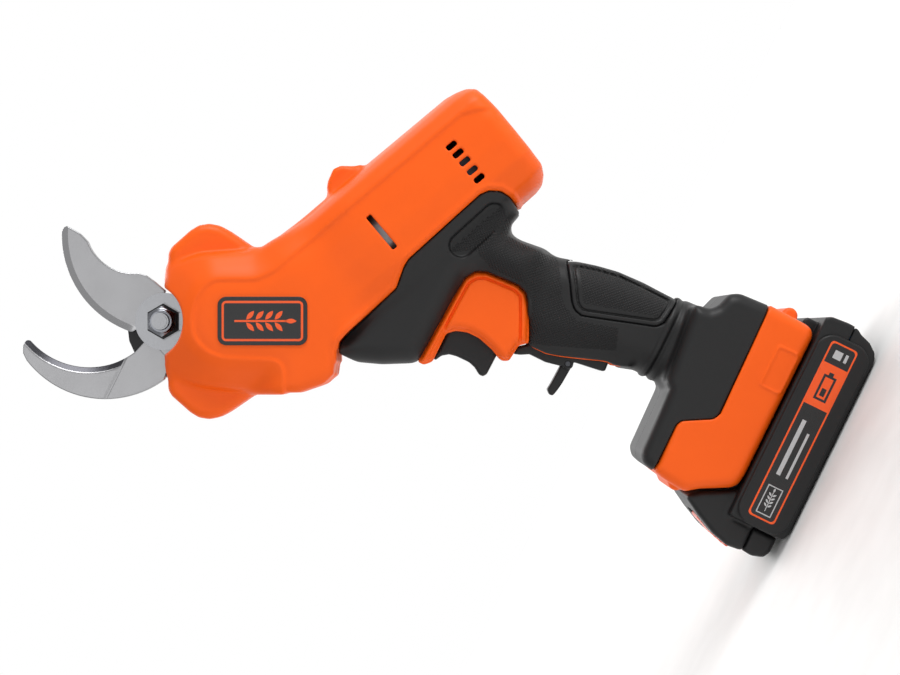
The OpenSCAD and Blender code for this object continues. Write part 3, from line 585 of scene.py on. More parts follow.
# Orange ABS from a spark-eroded tool: satin, with a fine sparkle. The grain is drawn coarser than the
# real 0.1 mm so that it shows.
ORANGE_ABS = Moulded("orange_abs_spark_eroded", "#FF6008", 0.44, grain_mm=0.6, depth_mm=0.012, specular=0.28)
# Orange ABS pressed parts, slightly redder in shade, from a polished tool.
ORANGE_GLOSS = Moulded("orange_abs_polished", "#FF4E08", 0.26, Pattern.GLOSS, grain_mm=2.0, depth_mm=0.004)
# Black glass-filled nylon: matt with a grey bloom.
BLACK_NYLON = Moulded("black_nylon_spark_eroded", "#151516", 0.44, grain_mm=0.6, depth_mm=0.02, specular=0.4)
# Elastomer moulded over the grip, with raised dots 1.2 mm apart.
GRIP_MESH = Moulded("grip_elastomer_mesh", "#121213", 0.55, Pattern.MESH, grain_mm=1.2, depth_mm=0.22,
                    specular=0.35)
# The same elastomer where the tool is smooth.
GRIP_SMOOTH = Moulded("grip_elastomer_smooth", "#171718", 0.48, grain_mm=0.8, depth_mm=0.015, specular=0.4)
# Printed polycarbonate film on the badge and the pack.
FILM_BLACK = Moulded("printed_film_black", "#161617", 0.22, Pattern.GLOSS, grain_mm=3.0, depth_mm=0.002)
FILM_ORANGE = Moulded("printed_film_orange", "#F4560C", 0.24, Pattern.GLOSS, grain_mm=3.0, depth_mm=0.002)
FILM_GREY = Moulded("printed_film_grey", "#B9B9BA", 0.24, Pattern.GLOSS, grain_mm=3.0, depth_mm=0.002)
# Blade steel, surface ground along the blade.
BLADE_STEEL = Ground("ground_blade_steel", "#AAAAAC", 0.34, direction=(0.06, 1, 1))
# The hook's bevel is painted in a darker copy of the blade steel: painted shade.
HOOK_BEVEL_PAINTED_SHADE = Ground("hook_bevel_painted_shade", "#4E4E52", 0.3, line_mm=0.5, direction=(0.2, 1, 1))
# The swinging blade's bevel is honed finer, and painted brighter than the blade steel: painted light.
BLADE_BEVEL_PAINTED_LIGHT = Ground("blade_bevel_painted_light", "#B8B8BA", 0.22, line_mm=0.5, direction=(0.2, 1, 1))
# Zinc-plated nut, bolt, disc and lock plate.
ZINC = Ground("zinc_plated_steel", "#A0A1A4", 0.24, line_mm=0.8, direction=(1, 1, 1), depth_mm=0.004)
# The lock nut is painted in a darker copy of the zinc: painted shade.
NUT_ZINC_PAINTED_SHADE = Ground("zinc_nut_painted_shade", "#8E9096", 0.2, line_mm=0.8, direction=(1, 1, 1), depth_mm=0.004)
# Black oxide on the hidden pins and screws.
OXIDE = Ground("black_oxide_steel", "#55565A", 0.34, line_mm=0.8, direction=(1, 1, 1))
# Sintered gears and the rolled lead screw.
SINTERED = Ground("sintered_steel", "#8A8B8E", 0.42, line_mm=0.5, direction=(1, 1, 1), depth_mm=0.02)
# Die-cast aluminium frame and gear case.
DIE_CAST = Ground("die_cast_aluminium", "#B4B6B8", 0.44, line_mm=1.2, direction=(1, 1, 1), depth_mm=0.03)
# Sintered bronze bush and nut.
BRONZE = Ground("sintered_bronze", "#B08A4E", 0.38, line_mm=0.6, direction=(1, 1, 1), depth_mm=0.02)
# Tin-flashed copper contacts and the winding's enamelled wire.
COPPER = Ground("copper_alloy_strip", "#C98A5E", 0.3, line_mm=0.5)
# Rolled nickel strip between the cells.
NICKEL = Ground("rolled_nickel_strip", "#B9B6AE", 0.3, line_mm=0.5)
FERRITE = Moulded("sintered_ferrite", "#2B2B2D", 0.6, grain_mm=0.5, depth_mm=0.03)
ACETAL = Moulded("natural_acetal", "#DAD6C6", 0.35)
BOARD = Moulded("solder_mask_green", "#1E5B33", 0.3, Pattern.GLOSS)
WRAP = Moulded("cell_shrink_wrap", "#2C6FB0", 0.25, Pattern.GLOSS)
LEAD_PVC = Moulded("lead_pvc", "#A01812", 0.35, Pattern.GLOSS)
NODE_FINISHES = {
    BLACK_NYLON: ["motor_cap", "switch_module", "terminal_block", "blade_bumper"],
    ZINC: ["pivot_bolt", "lock_plate", "retaining_disc", "hook_screws"],
    # the motor can is black oxide partly as its own colour and partly as painted shade, where it shows through the
    # housing's openings
    OXIDE: ["motor_can", "housing_screws", "lever_pin", "toggle_pin", "drive_pin", "pull_yoke"],
    SINTERED: ["sun_gear", "planet_a", "planet_b", "planet_c", "planet_pins", "carrier",
               "thrust_bearing"],
    DIE_CAST: ["gear_frame", "ring_gear", "guide_rails"],
    BRONZE: ["pivot_bush", "screw_nut"],
    COPPER: ["armature", "tool_blades", "pack_clips"],
    NICKEL: ["cell_tabs"],
    FERRITE: ["motor_magnets"],
    ACETAL: ["guide_pads"],
    BOARD: ["control_board", "pack_board"],
    WRAP: ["pack_cells"],
    LEAD_PVC: ["supply_leads"],
}
_made: dict[str, bpy.types.Material] = {}


def material_of(finish: Finish) -> bpy.types.Material:
    """The finish's material, built when it is first asked for."""
    if finish.name not in _made:
        _made[finish.name] = finish.make()
    return _made[finish.name]


def paint(piece: bpy.types.Object, finish: Finish) -> bpy.types.Object:
    """Gives every face of a piece one finish."""
    piece.data.materials.clear()
    piece.data.materials.append(material_of(finish))
    return piece


def patch(piece: bpy.types.Object, finish: Finish, where: np.ndarray) -> None:
    """Gives some of a piece's faces a second finish; where holds a flag for each face."""
    piece.data.materials.append(material_of(finish))
    index = np.zeros(len(piece.data.polygons), np.int32)
    piece.data.polygons.foreach_get("material_index", index)
    index[where] = len(piece.data.materials) - 1
    piece.data.polygons.foreach_set("material_index", index)


def face_places(piece: bpy.types.Object) -> tuple[np.ndarray, np.ndarray, np.ndarray]:
    """The x, y and z of each face's middle, in millimetres."""
    middles = np.zeros(3 * len(piece.data.polygons), np.float32)
    piece.data.polygons.foreach_get("center", middles)
    return tuple(middles.reshape(-1, 3).T / MM)


def within(points: Points, x: np.ndarray, z: np.ndarray) -> np.ndarray:
    """Flags for the places that lie inside a side-view outline."""
    inside = np.zeros(x.shape, bool)
    for (x0, z0), (x1, z1) in zip(points, points[1:] + points[:1]):
        with np.errstate(divide="ignore", invalid="ignore"):
            inside ^= ((z0 > z) != (z1 > z)) & (x - x0 < (x1 - x0) * (z - z0) / (z1 - z0))
    return inside


def finish_off(piece: bpy.types.Object, body: str, slot: str, *nodes: str) -> bpy.types.Object:
    """Hands a piece to the frame.

    Args:
        piece: the finished piece.
        body: the body that it rides on.
        slot: the record's material slot; not used.
        nodes: the CAD nodes that it stands for.

    Returns:
        The piece.
    """
    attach(piece, body)
    if nodes:
        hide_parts(*nodes)
    log.info("%s: %d faces, rides on %s", piece.name, len(getattr(piece.data, "polygons", ())), body)
    return piece


# ---------------------------------------------------------------- shared outlines

HORN = [(1.0, 19.5), (1.4, 26.5), (8, 29.5), (19.2, 32.2), (40, 33.7), (43.5, 35.3)]
THROAT = [(84.7, -13.7), (84, -19.5), (83.2, -25.5), (78.5, -30.2), (66.7, -34.3), (43.5, -34.8),
          (40, -33.7), (19.2, -32.2), (8, -29.5), (1.4, -26.5), (1.0, -19.5)]
HEAD_OUT = HORN + THROAT
LOBE = [(2.4, 10), (2.6, 32.4), (4.2, 35.4), (13.1, 43.3), (17.2, 45.8), (22.3, 46.6), (27.3, 45.6), (31.9, 43),
        (43.5, 35), (43.5, 10)]
PANEL = (HEAD.row([(16, -6), (15.5, 2), (17, 9), (20.5, 15.5), (26.2, 20.1), (46.2, 20.1), (54, 23.6)])
         + DRIVE.row([(96, 20.3), (6, 20.3), (0, 17.5), (-5, 14.6), (-14, 13), (-14, -60)])
         + HEAD.row([(95, -60), (58.3, -60), (58.3, -30), (58.6, -24.5), (57.4, -20), (53.7, -18.6), (30.8, -17.7),
                     (24.2, -15.4), (19, -11.2)]))
RAISED = (HEAD.row(HORN) + DRIVE.row([(118, 33.2), (108, 32.4), (75, 32.4), (75, -32), (112, -32)])
          + HEAD.row(THROAT))
BREAK = [(-62.6, 219), (-61.5, 223.5), (-59, 225.4), (-54.7, 226.6), (-49.3, 225.1), (-20.3, 213.9),
         (-9.6, 215.1), (-5.5, 214.6), (36, 198.1), (39.5, 195.2), (41.8, 190), (41.4, 184.8), (37.6, 177)]
ORANGE_ZONE = BREAK + [(37.6, 150), (140, 150), (140, 380), (-160, 380), (-160, 219)]
NECK = [(-62, 221), (-55.6, 204.4), (-48.8, 191.7), (-46.2, 189.2), (-1.7, 187.2), (3.2, 184.2), (5.3, 179.6),
        (6.4, 163.4), (4.6, 158.2), (1.6, 155.9), (25.9, 159.5), (24.5, 171), (24.9, 177.6), (31.4, 178.8),
        (37.6, 177), (42, 184), (42, 192), (36, 200), (-62, 230)]
HANDLE = [(24.9, 190), (24.9, 177.6), (24.5, 171), (25.9, 159.5), (27.6, 150.7), (29.9, 142.7), (32.3, 133.5),
          (34.2, 123), (34.8, 110), (34.5, 98), (34.2, 81), (34.2, 66), (-6, 66), (-4.8, 86), (-5.4, 97),
          (-6.8, 103.5), (-6.8, 110), (-12.2, 125), (-16.0, 135), (-17.4, 147.7), (-10, 160), (-6, 190)]
FOOT_TOP = [(-44.4, 65.5), (-44.0, 70.4), (-42.6, 75.2), (-39.0, 78.0), (-6.6, 79.0), (-4.4, 82), (34.2, 86),
            (35.4, 78.5), (38.2, 75.9), (45.5, 73.6), (48, 69), (49.2, 50), (-44.2, 50)]
FOOT_SPLIT = [(-60, 69.2), (-19.6, 69.2), (-17.2, 67.8), (-10, 55), (-6.6, 53.2), (60, 54.8), (60, 260), (-60, 260)]
FOOT_LOW = [(-43.6, 69.2), (-44.4, 66.8), (-45.4, 61.5), (-46.2, 51.8), (-42, 46.3), (-35.1, 33.4),
            (-32.4, 30.8), (-27, 30), (44.5, 30), (47.6, 31.8), (48.6, 35), (49.2, 54.4), (48, 69), (38, 76)]
SURROUND = [(-46.2, 189.2), (-1.7, 187.2), (3.2, 184.2), (5.3, 179.6), (6.4, 163.4), (4.6, 158.2),
            (1.6, 155.9), (-15.6, 147.7), (-18.6, 151.2), (-27, 152.1), (-28.2, 154.4), (-25.4, 161), (-23.3, 168.7),
            (-23.3, 175.1), (-25.2, 180.6), (-28.7, 184.5), (-43.6, 184.5), (-46.2, 187)]
PALM = [(27.3, 148), (29.9, 142.7), (32.3, 133.5), (34.2, 123), (34.8, 110), (34.5, 98), (34.4, 91.5),
        (20.4, 93.4), (17.4, 96), (6.4, 130), (7.2, 134), (10, 137)]
MESH_FRONT = [(-16, 146), (2, 154), (8, 162), (7.5, 178), (12, 189), (5, 200), (36, 187), (31, 179), (25, 178),
              (25, 160), (26.5, 152), (8, 140.5), (3.5, 131), (9, 112), (-1, 108), (-9, 128)]

BAY_EDGE = [(-15.6, 147.9), (-16.4, 143), (-16.3, 137), (-14.4, 130), (-11.4, 121.5), (-8.0, 112.5), (-7.0, 109),
            (-7.1, 105.6), (-6.2, 102.5)]


@dataclass
class Housing:
    """The orange motor and head shells, the black grip shells and what is moulded with them."""

    step: float = 0.62
    wall: float = 2.6
    gap: float = 0.15
    head_half: float = 28.6
    sunk: float = 1.0

    def barrel(self, f: Field) -> np.ndarray:
        """The motor housing's outer surface: flat sides, sloped shoulders, a faceted rear end."""
        t, h = DRIVE.local(f.x, f.z)
        side = f.outline([(-8.9, 11), (-7.9, 24.5), (-5.2, 28.3), (0.8, 31.4), (5, 32.4), (57, 32.6), (124, 32.4),
                          (124, -32), (11.7, -32), (1.3, -31.6), (-3.2, -29.8), (-6.8, -26.4), (-8.4, -22)],
                         DRIVE, 1.0)
        knots = [(-33, 9), (-30, 18), (-24, 25.6), (-14, 30), (-2, 30.8), (10, 29.8), (20.8, 27.6), (26, 23.6),
                 (30, 18.0), (33, 11)]
        height, half = zip(*knots)
        level = np.linspace(-34, 34, 273)
        width = np.interp(level, height, half)
        kernel = np.hanning(17)
        width = np.convolve(np.pad(width, 8, mode="edge"), kernel / kernel.sum(), "valid")
        slope = np.gradient(width, level)
        half_at = np.interp(h, level, width)[:, None, :]
        lean = (1 / np.sqrt(1 + np.interp(h, level, slope) ** 2))[:, None, :]
        narrow = 3.0 * ramp((t - 72) / 32)[:, None, :]
        around = (np.abs(f.y) - half_at + narrow) * lean
        sunk = self.sunk * ramp(-f.outline(PANEL, ROW, 0.8) / 2.4)[:, None, :]
        return smooth_max(side[:, None, :], around + sunk, 9)

    def outer(self, f: Field) -> np.ndarray:
        """The whole upper body's outer surface, before it is split by colour."""
        barrel = self.barrel(f)
        out = f.outline(RAISED, ROW, 1.5)
        panel = f.outline(PANEL, ROW, 2.4)[:, None, :]
        far_panel = f.outline(PANEL, ROW, 3.5)[:, None, :]
        lean = 0.85
        sloped = (np.abs(f.y) - self.head_half + lean * far_panel) / math.sqrt(1 + lean * lean)
        raised = smooth_max(smooth_max(sloped, np.abs(f.y) - self.head_half, 5), f.slab(out, -32, 32, 8), 4)
        raised = raised + self.sunk * ramp(-panel / 2.4)
        t, _ = DRIVE.local(f.x, f.z)
        share = ramp((116 - t) / 28)[:, None, :]
        lobes = np.minimum(f.outline(LOBE, HEAD, 1.0), f.outline([(u, -v) for u, v in LOBE], HEAD, 1.0))
        flange = f.slab(np.minimum(lobes, out + 1.0), -11.6, 11.6, 4.5)
        body = smooth_min(share * barrel + (1 - share) * raised, flange, 2.2)
        lug = f.outline([(5.5, 262), (8, 265.6), (11, 266.6), (17.6, 266.9), (20.6, 264.4), (24.4, 256), (20, 250),
                         (0, 258)], ROW, 0.8)
        return smooth_min(body, f.slab(lug, -6, 6, 2.5), 4)

    def inner(self, f: Field, outer: np.ndarray) -> np.ndarray:
        """The hollow inside the upper body."""
        return outer + self.wall

    def openings(self, f: Field) -> np.ndarray:
        """The blades' mouth, the yoke's opening and the scallop round the nut."""
        mouth = f.slab(f.outline(rectangle(-20, 14, -19, 19), HEAD), -9, 11, 0.5)
        yoke = f.slab(f.outline([(-2, -26), (8, -28), (8, -10), (-2, -10)], HEAD), -7.4, 8.1, 0.3)
        x, z = HEAD.row([(-5.25, 0)])[0]
        scallop = f.through(f.circle(x, z, 16.9))
        return np.minimum(np.minimum(mouth, yoke), scallop)

    def vents(self, f: Field) -> np.ndarray:
        """Five rear vents and the long slot, cut through the near wall."""
        cuts = [f.outline(rectangle(16.4, 22.0, h - 1.4, h + 1.4), DRIVE, 0.6) for h in (-9, -4.1, 1.3, 6.2, 11)]
        cuts.append(f.outline(rectangle(68.7, 71.4, -8.7, 10.9), DRIVE))
        return np.minimum.reduce(cuts)[:, None, :]

    def shells(self) -> None:
        """Builds the two orange shells and the two black shells."""
        f = Field((-120, -36, 168), (85, 1, 325), self.step)
        outer = self.outer(f)
        zone = f.outline(ORANGE_ZONE, ROW, 0.8)[:, None, :]
        hollow = self.inner(f, outer)
        # a soft raised lip runs along the colour break
        lip = 0.7 * np.exp(-((zone + 2.0) / 1.1) ** 2)
        orange = smooth_max(outer - lip, zone + self.gap, 0.8)
        orange = smooth_max(orange, -self.openings(f), 1.2)
        orange = cut(orange, self.vents(f), hollow)
        near = paint(thinned(halve(f.mesh("housing_shell_near", orange), -0.05), 0.6), ORANGE_ABS)
        far = mirrored(near, "housing_shell_far")
        finish_off(near, "housing", "orange_plastic", "body_shell_near")
        finish_off(far, "housing", "orange_plastic", "body_shell_far")
        self.grip()

    def grip(self) -> None:
        """Builds the black grip shells and the palm pad, leaving room for the trigger surround."""
        f = Field((-66, -36, 48), (54, 1, 232), 0.66)
        barrel = self.barrel(f) + 0.35
        head = f.slab(f.outline(HEAD_OUT, HEAD, 1.2), -26.5, 26.5, 9)
        neck = f.slab(f.outline(NECK, ROW, 2.0), -24, 24, 11)
        handle = f.oval(f.outline(HANDLE, ROW, 2.0), 17.5, 17, 2.2)
        foot = f.slab(f.outline(FOOT_TOP, ROW, 1.6), -33.6, 33.6, 6)
        cheeks = f.slab(f.outline(BAY_EDGE + [(-4.6, 99), (6, 98), (6, 151), (-10, 151)], ROW, 0.6),
                        -11.4, 11.4, 1.4)
        handle = smooth_min(handle, cheeks, 4)
        body = smooth_min(smooth_min(smooth_min(barrel, head, 5), neck, 4), handle, 9)
        ring = [smooth_max(handle - 1.1, np.abs(f.z - z)[:, None, :] - 1.5, 1.5) for z in (86.5, 91.0)]
        body = smooth_min(smooth_min(body, foot, 6), np.minimum(*ring), 1.2)
        # recess for the thumb and first finger under the motor
        x, z = 20.8, 191.6
        dx, dz = f.x - x, f.z - z
        along, across = dx * 0.93 - dz * 0.37, dx * 0.37 + dz * 0.93
        oval = np.hypot(np.maximum(np.abs(along) - 10.5, 0), across) - 5.6
        body = smooth_max(body, -f.slab(oval, -60, -21.5, 1.5), 1.5)
        zone = f.outline(ORANGE_ZONE, ROW, 0.8)[:, None, :]
        surround = f.outline(SURROUND, ROW, 0.6)[:, None, :]
        split = f.outline(FOOT_SPLIT, ROW, 0.8)[:, None, :]
        palm = f.outline(PALM, ROW, 1.0)
        bay = f.slab(f.outline([(-30, 153), (-16, 147.4), (-9.6, 147.4), (-8.6, 138), (-5.2, 125), (0.8, 108.6),
                                (0.4, 103.6), (-30, 103.6)]), -8.6, 8.6, 0.5)
        black = smooth_max(body, -zone + self.gap, 0.8)
        black = smooth_max(black, -surround + 0.1, 0.5)
        black = np.maximum(black, -np.maximum(surround - 1.15, np.abs(f.y) - 15))
        black = smooth_max(black, split + self.gap, 0.8)
        core = body + 1.3
        black = np.maximum(black, -np.maximum(palm[:, None, :] - 0.0, -core))
        black = np.maximum(black, -bay)
        hollow = np.maximum(body + self.wall, -surround + 2.6)
        hollow = np.maximum(hollow, -bay + 1.6)
        black = np.maximum(black, -hollow)
        near = paint(thinned(halve(f.mesh("grip_near", black), -0.05), 0.8), GRIP_SMOOTH)
        x, y, z = face_places(near)
        patch(near, GRIP_MESH, within(MESH_FRONT, x, z) & (y < -1))
        far = mirrored(near, "grip_far")
        finish_off(near, "housing", "black_plastic", "grip_shell_near")
        finish_off(far, "housing", "black_plastic", "grip_shell_far")
        groove = np.abs(palm + 3.0) - 0.45
        pad = np.maximum(smooth_max(body - 0.25, (palm + 0.35)[:, None, :], 1.2), -(core + 0.1))
        pad = smooth_max(pad, -np.maximum(groove[:, None, :], -(body + 0.7)), 0.6)
        whole = paint(both_sides(f.mesh("palm_cushion", pad)), GRIP_SMOOTH)
        x, y, z = face_places(whole)
        patch(whole, GRIP_MESH, within([(27, 141), (12, 132), (22, 98), (40, 95), (40, 141)], x, z))
        finish_off(whole, "housing", "soft_grip", "palm_pad")

    def surround(self) -> None:
        """Builds the orange surround of the trigger."""
        f = Field((-50, -20, 144), (10, 20, 192), 0.6)
        flat = f.outline(SURROUND, ROW, 0.7)
        body = np.minimum(f.slab(flat + 0.12, -18, 18, 3.5), f.slab(flat - 0.9, -14.6, 14.6, 0.5))
        rim = f.outline([(-60, 186.5), (-3.2, 184.6), (0.6, 182), (2.4, 178.5), (3.4, 164), (2, 160), (-9, 154.5),
                         (-40, 140), (-70, 150)], ROW, 0.8)
        groove = np.abs(rim) - 0.5
        body = smooth_max(body, -np.maximum(groove[:, None, :], 15.9 - np.abs(f.y)), 0.8)
        slot = f.slab(f.outline(rectangle(-50, -19, 184.45, 156.9)), -9, 9, 0.4)
        piece = cut(body, slot, f.slab(flat + 2.2, -15.6, 15.6, 0.5))
        finish_off(paint(f.mesh("trigger_guard_panel", piece), ORANGE_ABS), "housing", "orange_plastic",
                   "trigger_surround")

    def foot(self) -> None:
        """Builds the orange collar of the foot, as two halves."""
        f = Field((-52, -37, 26), (54, 1, 80), 0.7)
        low = f.slab(f.outline(FOOT_LOW, ROW, 1.4), -33.9, 33.9, 5)
        nubs = [f.slab(f.circle(x, z, 3.9), -26, 26, 2.2) for x, z in ((-44.0, 56.4), (49.2, 43.2))]
        body = smooth_min(low, np.minimum(*nubs), 0.9)
        # a raised frame on each side
        edge = np.abs(f.outline(rectangle(13.7, 33.8, 32.7, 42.6), ROW, 0.8))[:, None, :] - 0.5
        body = np.minimum(body, np.maximum(np.maximum(body - 0.6, edge), f.y + 20))
        split = f.outline(FOOT_SPLIT, ROW, 0.8)[:, None, :]
        body = smooth_max(body, -split + 0.15, 0.8)
        channel = f.slab(f.outline(rectangle(-60, 60, 20, 45.2)), -23, 23, 0.3)
        grooves = f.slab(f.outline(rectangle(-60, 60, 34.6, 39.4)), -25.4, 25.4, 0.3)
        inside = f.slab(f.outline([(-40, 52), (45, 49), (45, 90), (-40, 90)]), -31, 31, 1)
        well = f.slab(f.outline(rectangle(-14.3, 14.3, 40, 60)), -18.3, 18.3, 0.3)
        body = cut(body, channel, grooves, inside, well)
        near = paint(halve(f.mesh("foot_collar_near", body), -0.05), ORANGE_ABS)
        far = mirrored(near, "foot_collar_far")
        finish_off(near, "housing", "orange_plastic", "foot_shell_near")
        finish_off(far, "housing", "orange_plastic", "foot_shell_far")

    def liner(self) -> None:
        """Builds the thin orange edge that shows along each side of the lever's bay."""
        for sign, where in ((-1, "near"), (1, "far")):
            strip = settle(wire(f"lever_bay_edge_{where}",
                                [(x - 0.25, sign * 8.95, z) for x, z in BAY_EDGE], 0.38), Matrix.Identity(4))
            finish_off(paint(strip, ORANGE_ABS), "housing", "orange_plastic")

    def badge(self) -> None:
        """Builds the badge: a film panel, an orange inlay line and a plain sprig, with no lettering."""
        def panel(inset: float) -> Points:
            """The badge's rounded rectangle, inset from its edge."""
            return rounded(28.5 + inset, 70.3 - inset, inset - 11.3, 11.3 - inset, max(4 - inset, 0.6), 6)
        base = paint(plate("badge_rim", [panel(0)], -28.35, -27.3, 0.2, HEAD), FILM_BLACK)
        finish_off(base, "housing", "gloss_label", "badge_plate")
        inlay = paint(plate("badge_inlay", [panel(1.9)], -28.45, -28.3, 0.04, HEAD), FILM_ORANGE)
        finish_off(inlay, "housing", "gloss_label")
        face = paint(plate("badge_face", [panel(3.0)], -28.6, -28.4, 0.05, HEAD), FILM_BLACK)
        finish_off(face, "housing", "gloss_label")
        leaves = plate("badge_sprig", sprig(49.4, 0, 13), -28.68, -28.58, 0.0, HEAD)
        finish_off(paint(leaves, FILM_ORANGE), "housing", "gloss_label")

    def build(self) -> None:
        """Builds every piece of the housing."""
        self.shells()
        self.surround()
        self.foot()
        self.liner()
        self.badge()


@dataclass
class Blades:
    """The hooked blade, the swinging blade, and the nut on their pivot."""

    step: float = 0.3
    hook_t: float = 4.0
    blade_y: tuple[float, float] = (-3.2, -0.2)
    # middle and radius of each blade's edge
    hook_edge: tuple[float, float, float] = (-85.9, 347.3, 37.5)
    blade_edge: tuple[float, float, float] = (-46.3, 325.9, 49.2)
    # both bevels run out at this height, below which the blades stay flat
    bevel_end: float = 316.0

    def hook(self) -> None:
        """Builds the hooked counter blade, hollow ground on its inner edge."""
        shape = (arc(-86.9, 337.7, 47.7, 153.5, 243, 24) + [(-102, 296), (-96, 312)]
                 + arc(*self.hook_edge, 242, 157, 24) + [(-121, 363.3), (-123.6, 363.6), (-127.2, 362)])
        tail = DRIVE.row([(194, 15.8), (187, 24), (140, 24), (136, 30), (150, 34), (160, 42), (168, 46),
                          (190, 37)])
        f = Field((-138, -0.6, 240), (-30, 4.6, 366), self.step)
        flat = np.minimum(f.outline(shape, ROW, 0.3), f.outline(tail))
        flat = np.minimum(flat, f.circle(HEAD.x, HEAD.z, 13.7))
        flat = np.maximum(flat, -f.circle(HEAD.x, HEAD.z, 4.0))
        body = f.slab(flat, 0, self.hook_t, 0.5)
        # the bevel on the near face falls away within 2.6 mm of the inner edge
        fade = np.clip((f.z - self.bevel_end) / 6, 0, 1)
        near = np.clip(2.6 - np.abs(f.circle(*self.hook_edge)), -1, 3)
        bevel = np.where(fade > 0, 0.25 + 0.75 * near * fade, -3.0)
        body = np.maximum(body, bevel[:, None, :] - f.y)
        piece = paint(thinned(f.mesh("hooked_blade", body), 0.6), BLADE_STEEL)
        x, y, z = face_places(piece)
        cx, cz, r = self.hook_edge
        # the hook's bevel faces are painted in the darker steel: painted shade
        patch(piece, HOOK_BEVEL_PAINTED_SHADE, (np.hypot(x - cx, z - cz) < r + 2.4) & (z > self.bevel_end + 1) & (x < -88))
        finish_off(piece, "housing", "blade_steel", "hook_blade")

    def blade(self) -> None:
        """Builds the swinging blade with its ground cutting edge."""
        f = Field((-112, -3.8, 274), (-58, 0.4, 374), self.step)
        shape = (arc(*self.blade_edge, 114.6, 188, 24) + [(-92, 317), (-70, 313), (-68.2, 320), (-67.4, 324.9)]
                 + arc(-48.6, 340.8, 23.1, 212, 136, 14) + [(-63.4, 362), (-63, 369.4), (-64.4, 370.6)])
        pin = [1000 * (a + b) / 2 for a, b in zip(*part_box("drive_pin"))]
        tail = math.atan2(pin[2] - HEAD.z, pin[0] - HEAD.x)
        neck = Side(HEAD.x, HEAD.z, math.cos(tail), math.sin(tail))
        flat = np.minimum(f.outline(shape, ROW, 0.3), f.circle(HEAD.x, HEAD.z, 13.7))
        flat = np.minimum(flat, f.circle(pin[0], pin[2], 6.2))
        flat = np.minimum(flat, f.outline([(0, -12), (8, -9.5), (28, -6.2), (28, 6.2), (8, 9.5), (0, 12)],
                                          neck))
        flat = np.maximum(flat, -f.circle(HEAD.x, HEAD.z, 6.05))
        flat = np.maximum(flat, -f.circle(pin[0], pin[2], 2.5))
        y0, y1 = self.blade_y
        body = f.slab(flat, y0, y1, 0.45)
        fade = np.clip((f.z - self.bevel_end) / 8, 0, 1)
        near = np.clip(3.4 + f.circle(*self.blade_edge), -4, 4)
        bevel = np.where(fade > 0, 0.62 * near * fade, -4.0)
        body = np.maximum(body, (bevel[:, None, :] + y0 - f.y) * 0.85)
        piece = paint(f.mesh("swinging_blade", body), BLADE_STEEL)
        x, y, z = face_places(piece)
        cx, cz, r = self.blade_edge
        # the cutting bevel's faces are painted in the lighter steel: painted light
        patch(piece, BLADE_BEVEL_PAINTED_LIGHT, (np.hypot(x - cx, z - cz) > r - 3.3) & (z > self.bevel_end + 1) & (x < -55))
        finish_off(piece, "blade", "blade_steel", "moving_blade")

    def nut(self) -> None:
        """Builds the lock nut with its chamfered corners and nylon collar, and a black ring of painted shadow round
        it.
        """
        f = Field((HEAD.x - 9, -15, HEAD.z - 9), (HEAD.x + 9, -5.5, HEAD.z + 9), 0.22)
        u, v = HEAD.local(f.x, f.z)
        flats = [np.abs(u * math.cos(a) + v * math.sin(a)) - 6.5 for a in np.radians((0, 60, 120))]
        six = np.maximum.reduce(flats)
        r = np.hypot(u, v)[:, None, :]
        prism = np.maximum(f.slab(six, -12.6, -6.1, 0.15), (r - 7.1 - (f.y + 11.6)) * 0.7)
        prism = np.maximum(prism, (r - 7.35 + (f.y + 6.8)) * 0.7)
        collar = f.slab(r[:, 0, :] - 5.7, -14.4, -12, 0.9)
        body = np.maximum(smooth_min(prism, collar, 0.5), 4.02 - r + 0 * f.y)
        # the nut is painted in a darker copy of the zinc: painted shade
        finish_off(paint(f.mesh("lock_nut", body), NUT_ZINC_PAINTED_SHADE), "housing", "zinc_steel", "pivot_nut")
        # a black hexagon just wider than the nut, standing for the dark gap round it: painted shadow
        painted_shadow_ring = plate("nut_painted_shadow", [arc(0, 0, 8.6, 30, 330, 5)], -6.5, -6.12, 0.1, HEAD)
        finish_off(paint(painted_shadow_ring, BLACK_NYLON), "housing", "zinc_steel")
        place = (Matrix.Translation((HEAD.x * MM, -14.1 * MM, HEAD.z * MM))
                 @ Matrix.Rotation(math.pi / 2, 4, "X"))
        section = [(4.1, 0.2), (4.9, 0.2), (4.9, -0.35), (4.1, -0.35), (4.1, 0.2)]
        insert = turned("nylon_insert", section, place)
        finish_off(paint(insert, WRAP), "housing", "zinc_steel")

    def build(self) -> None:
        """Builds the blades and the nut."""
        self.hook()
        self.blade()
        self.nut()


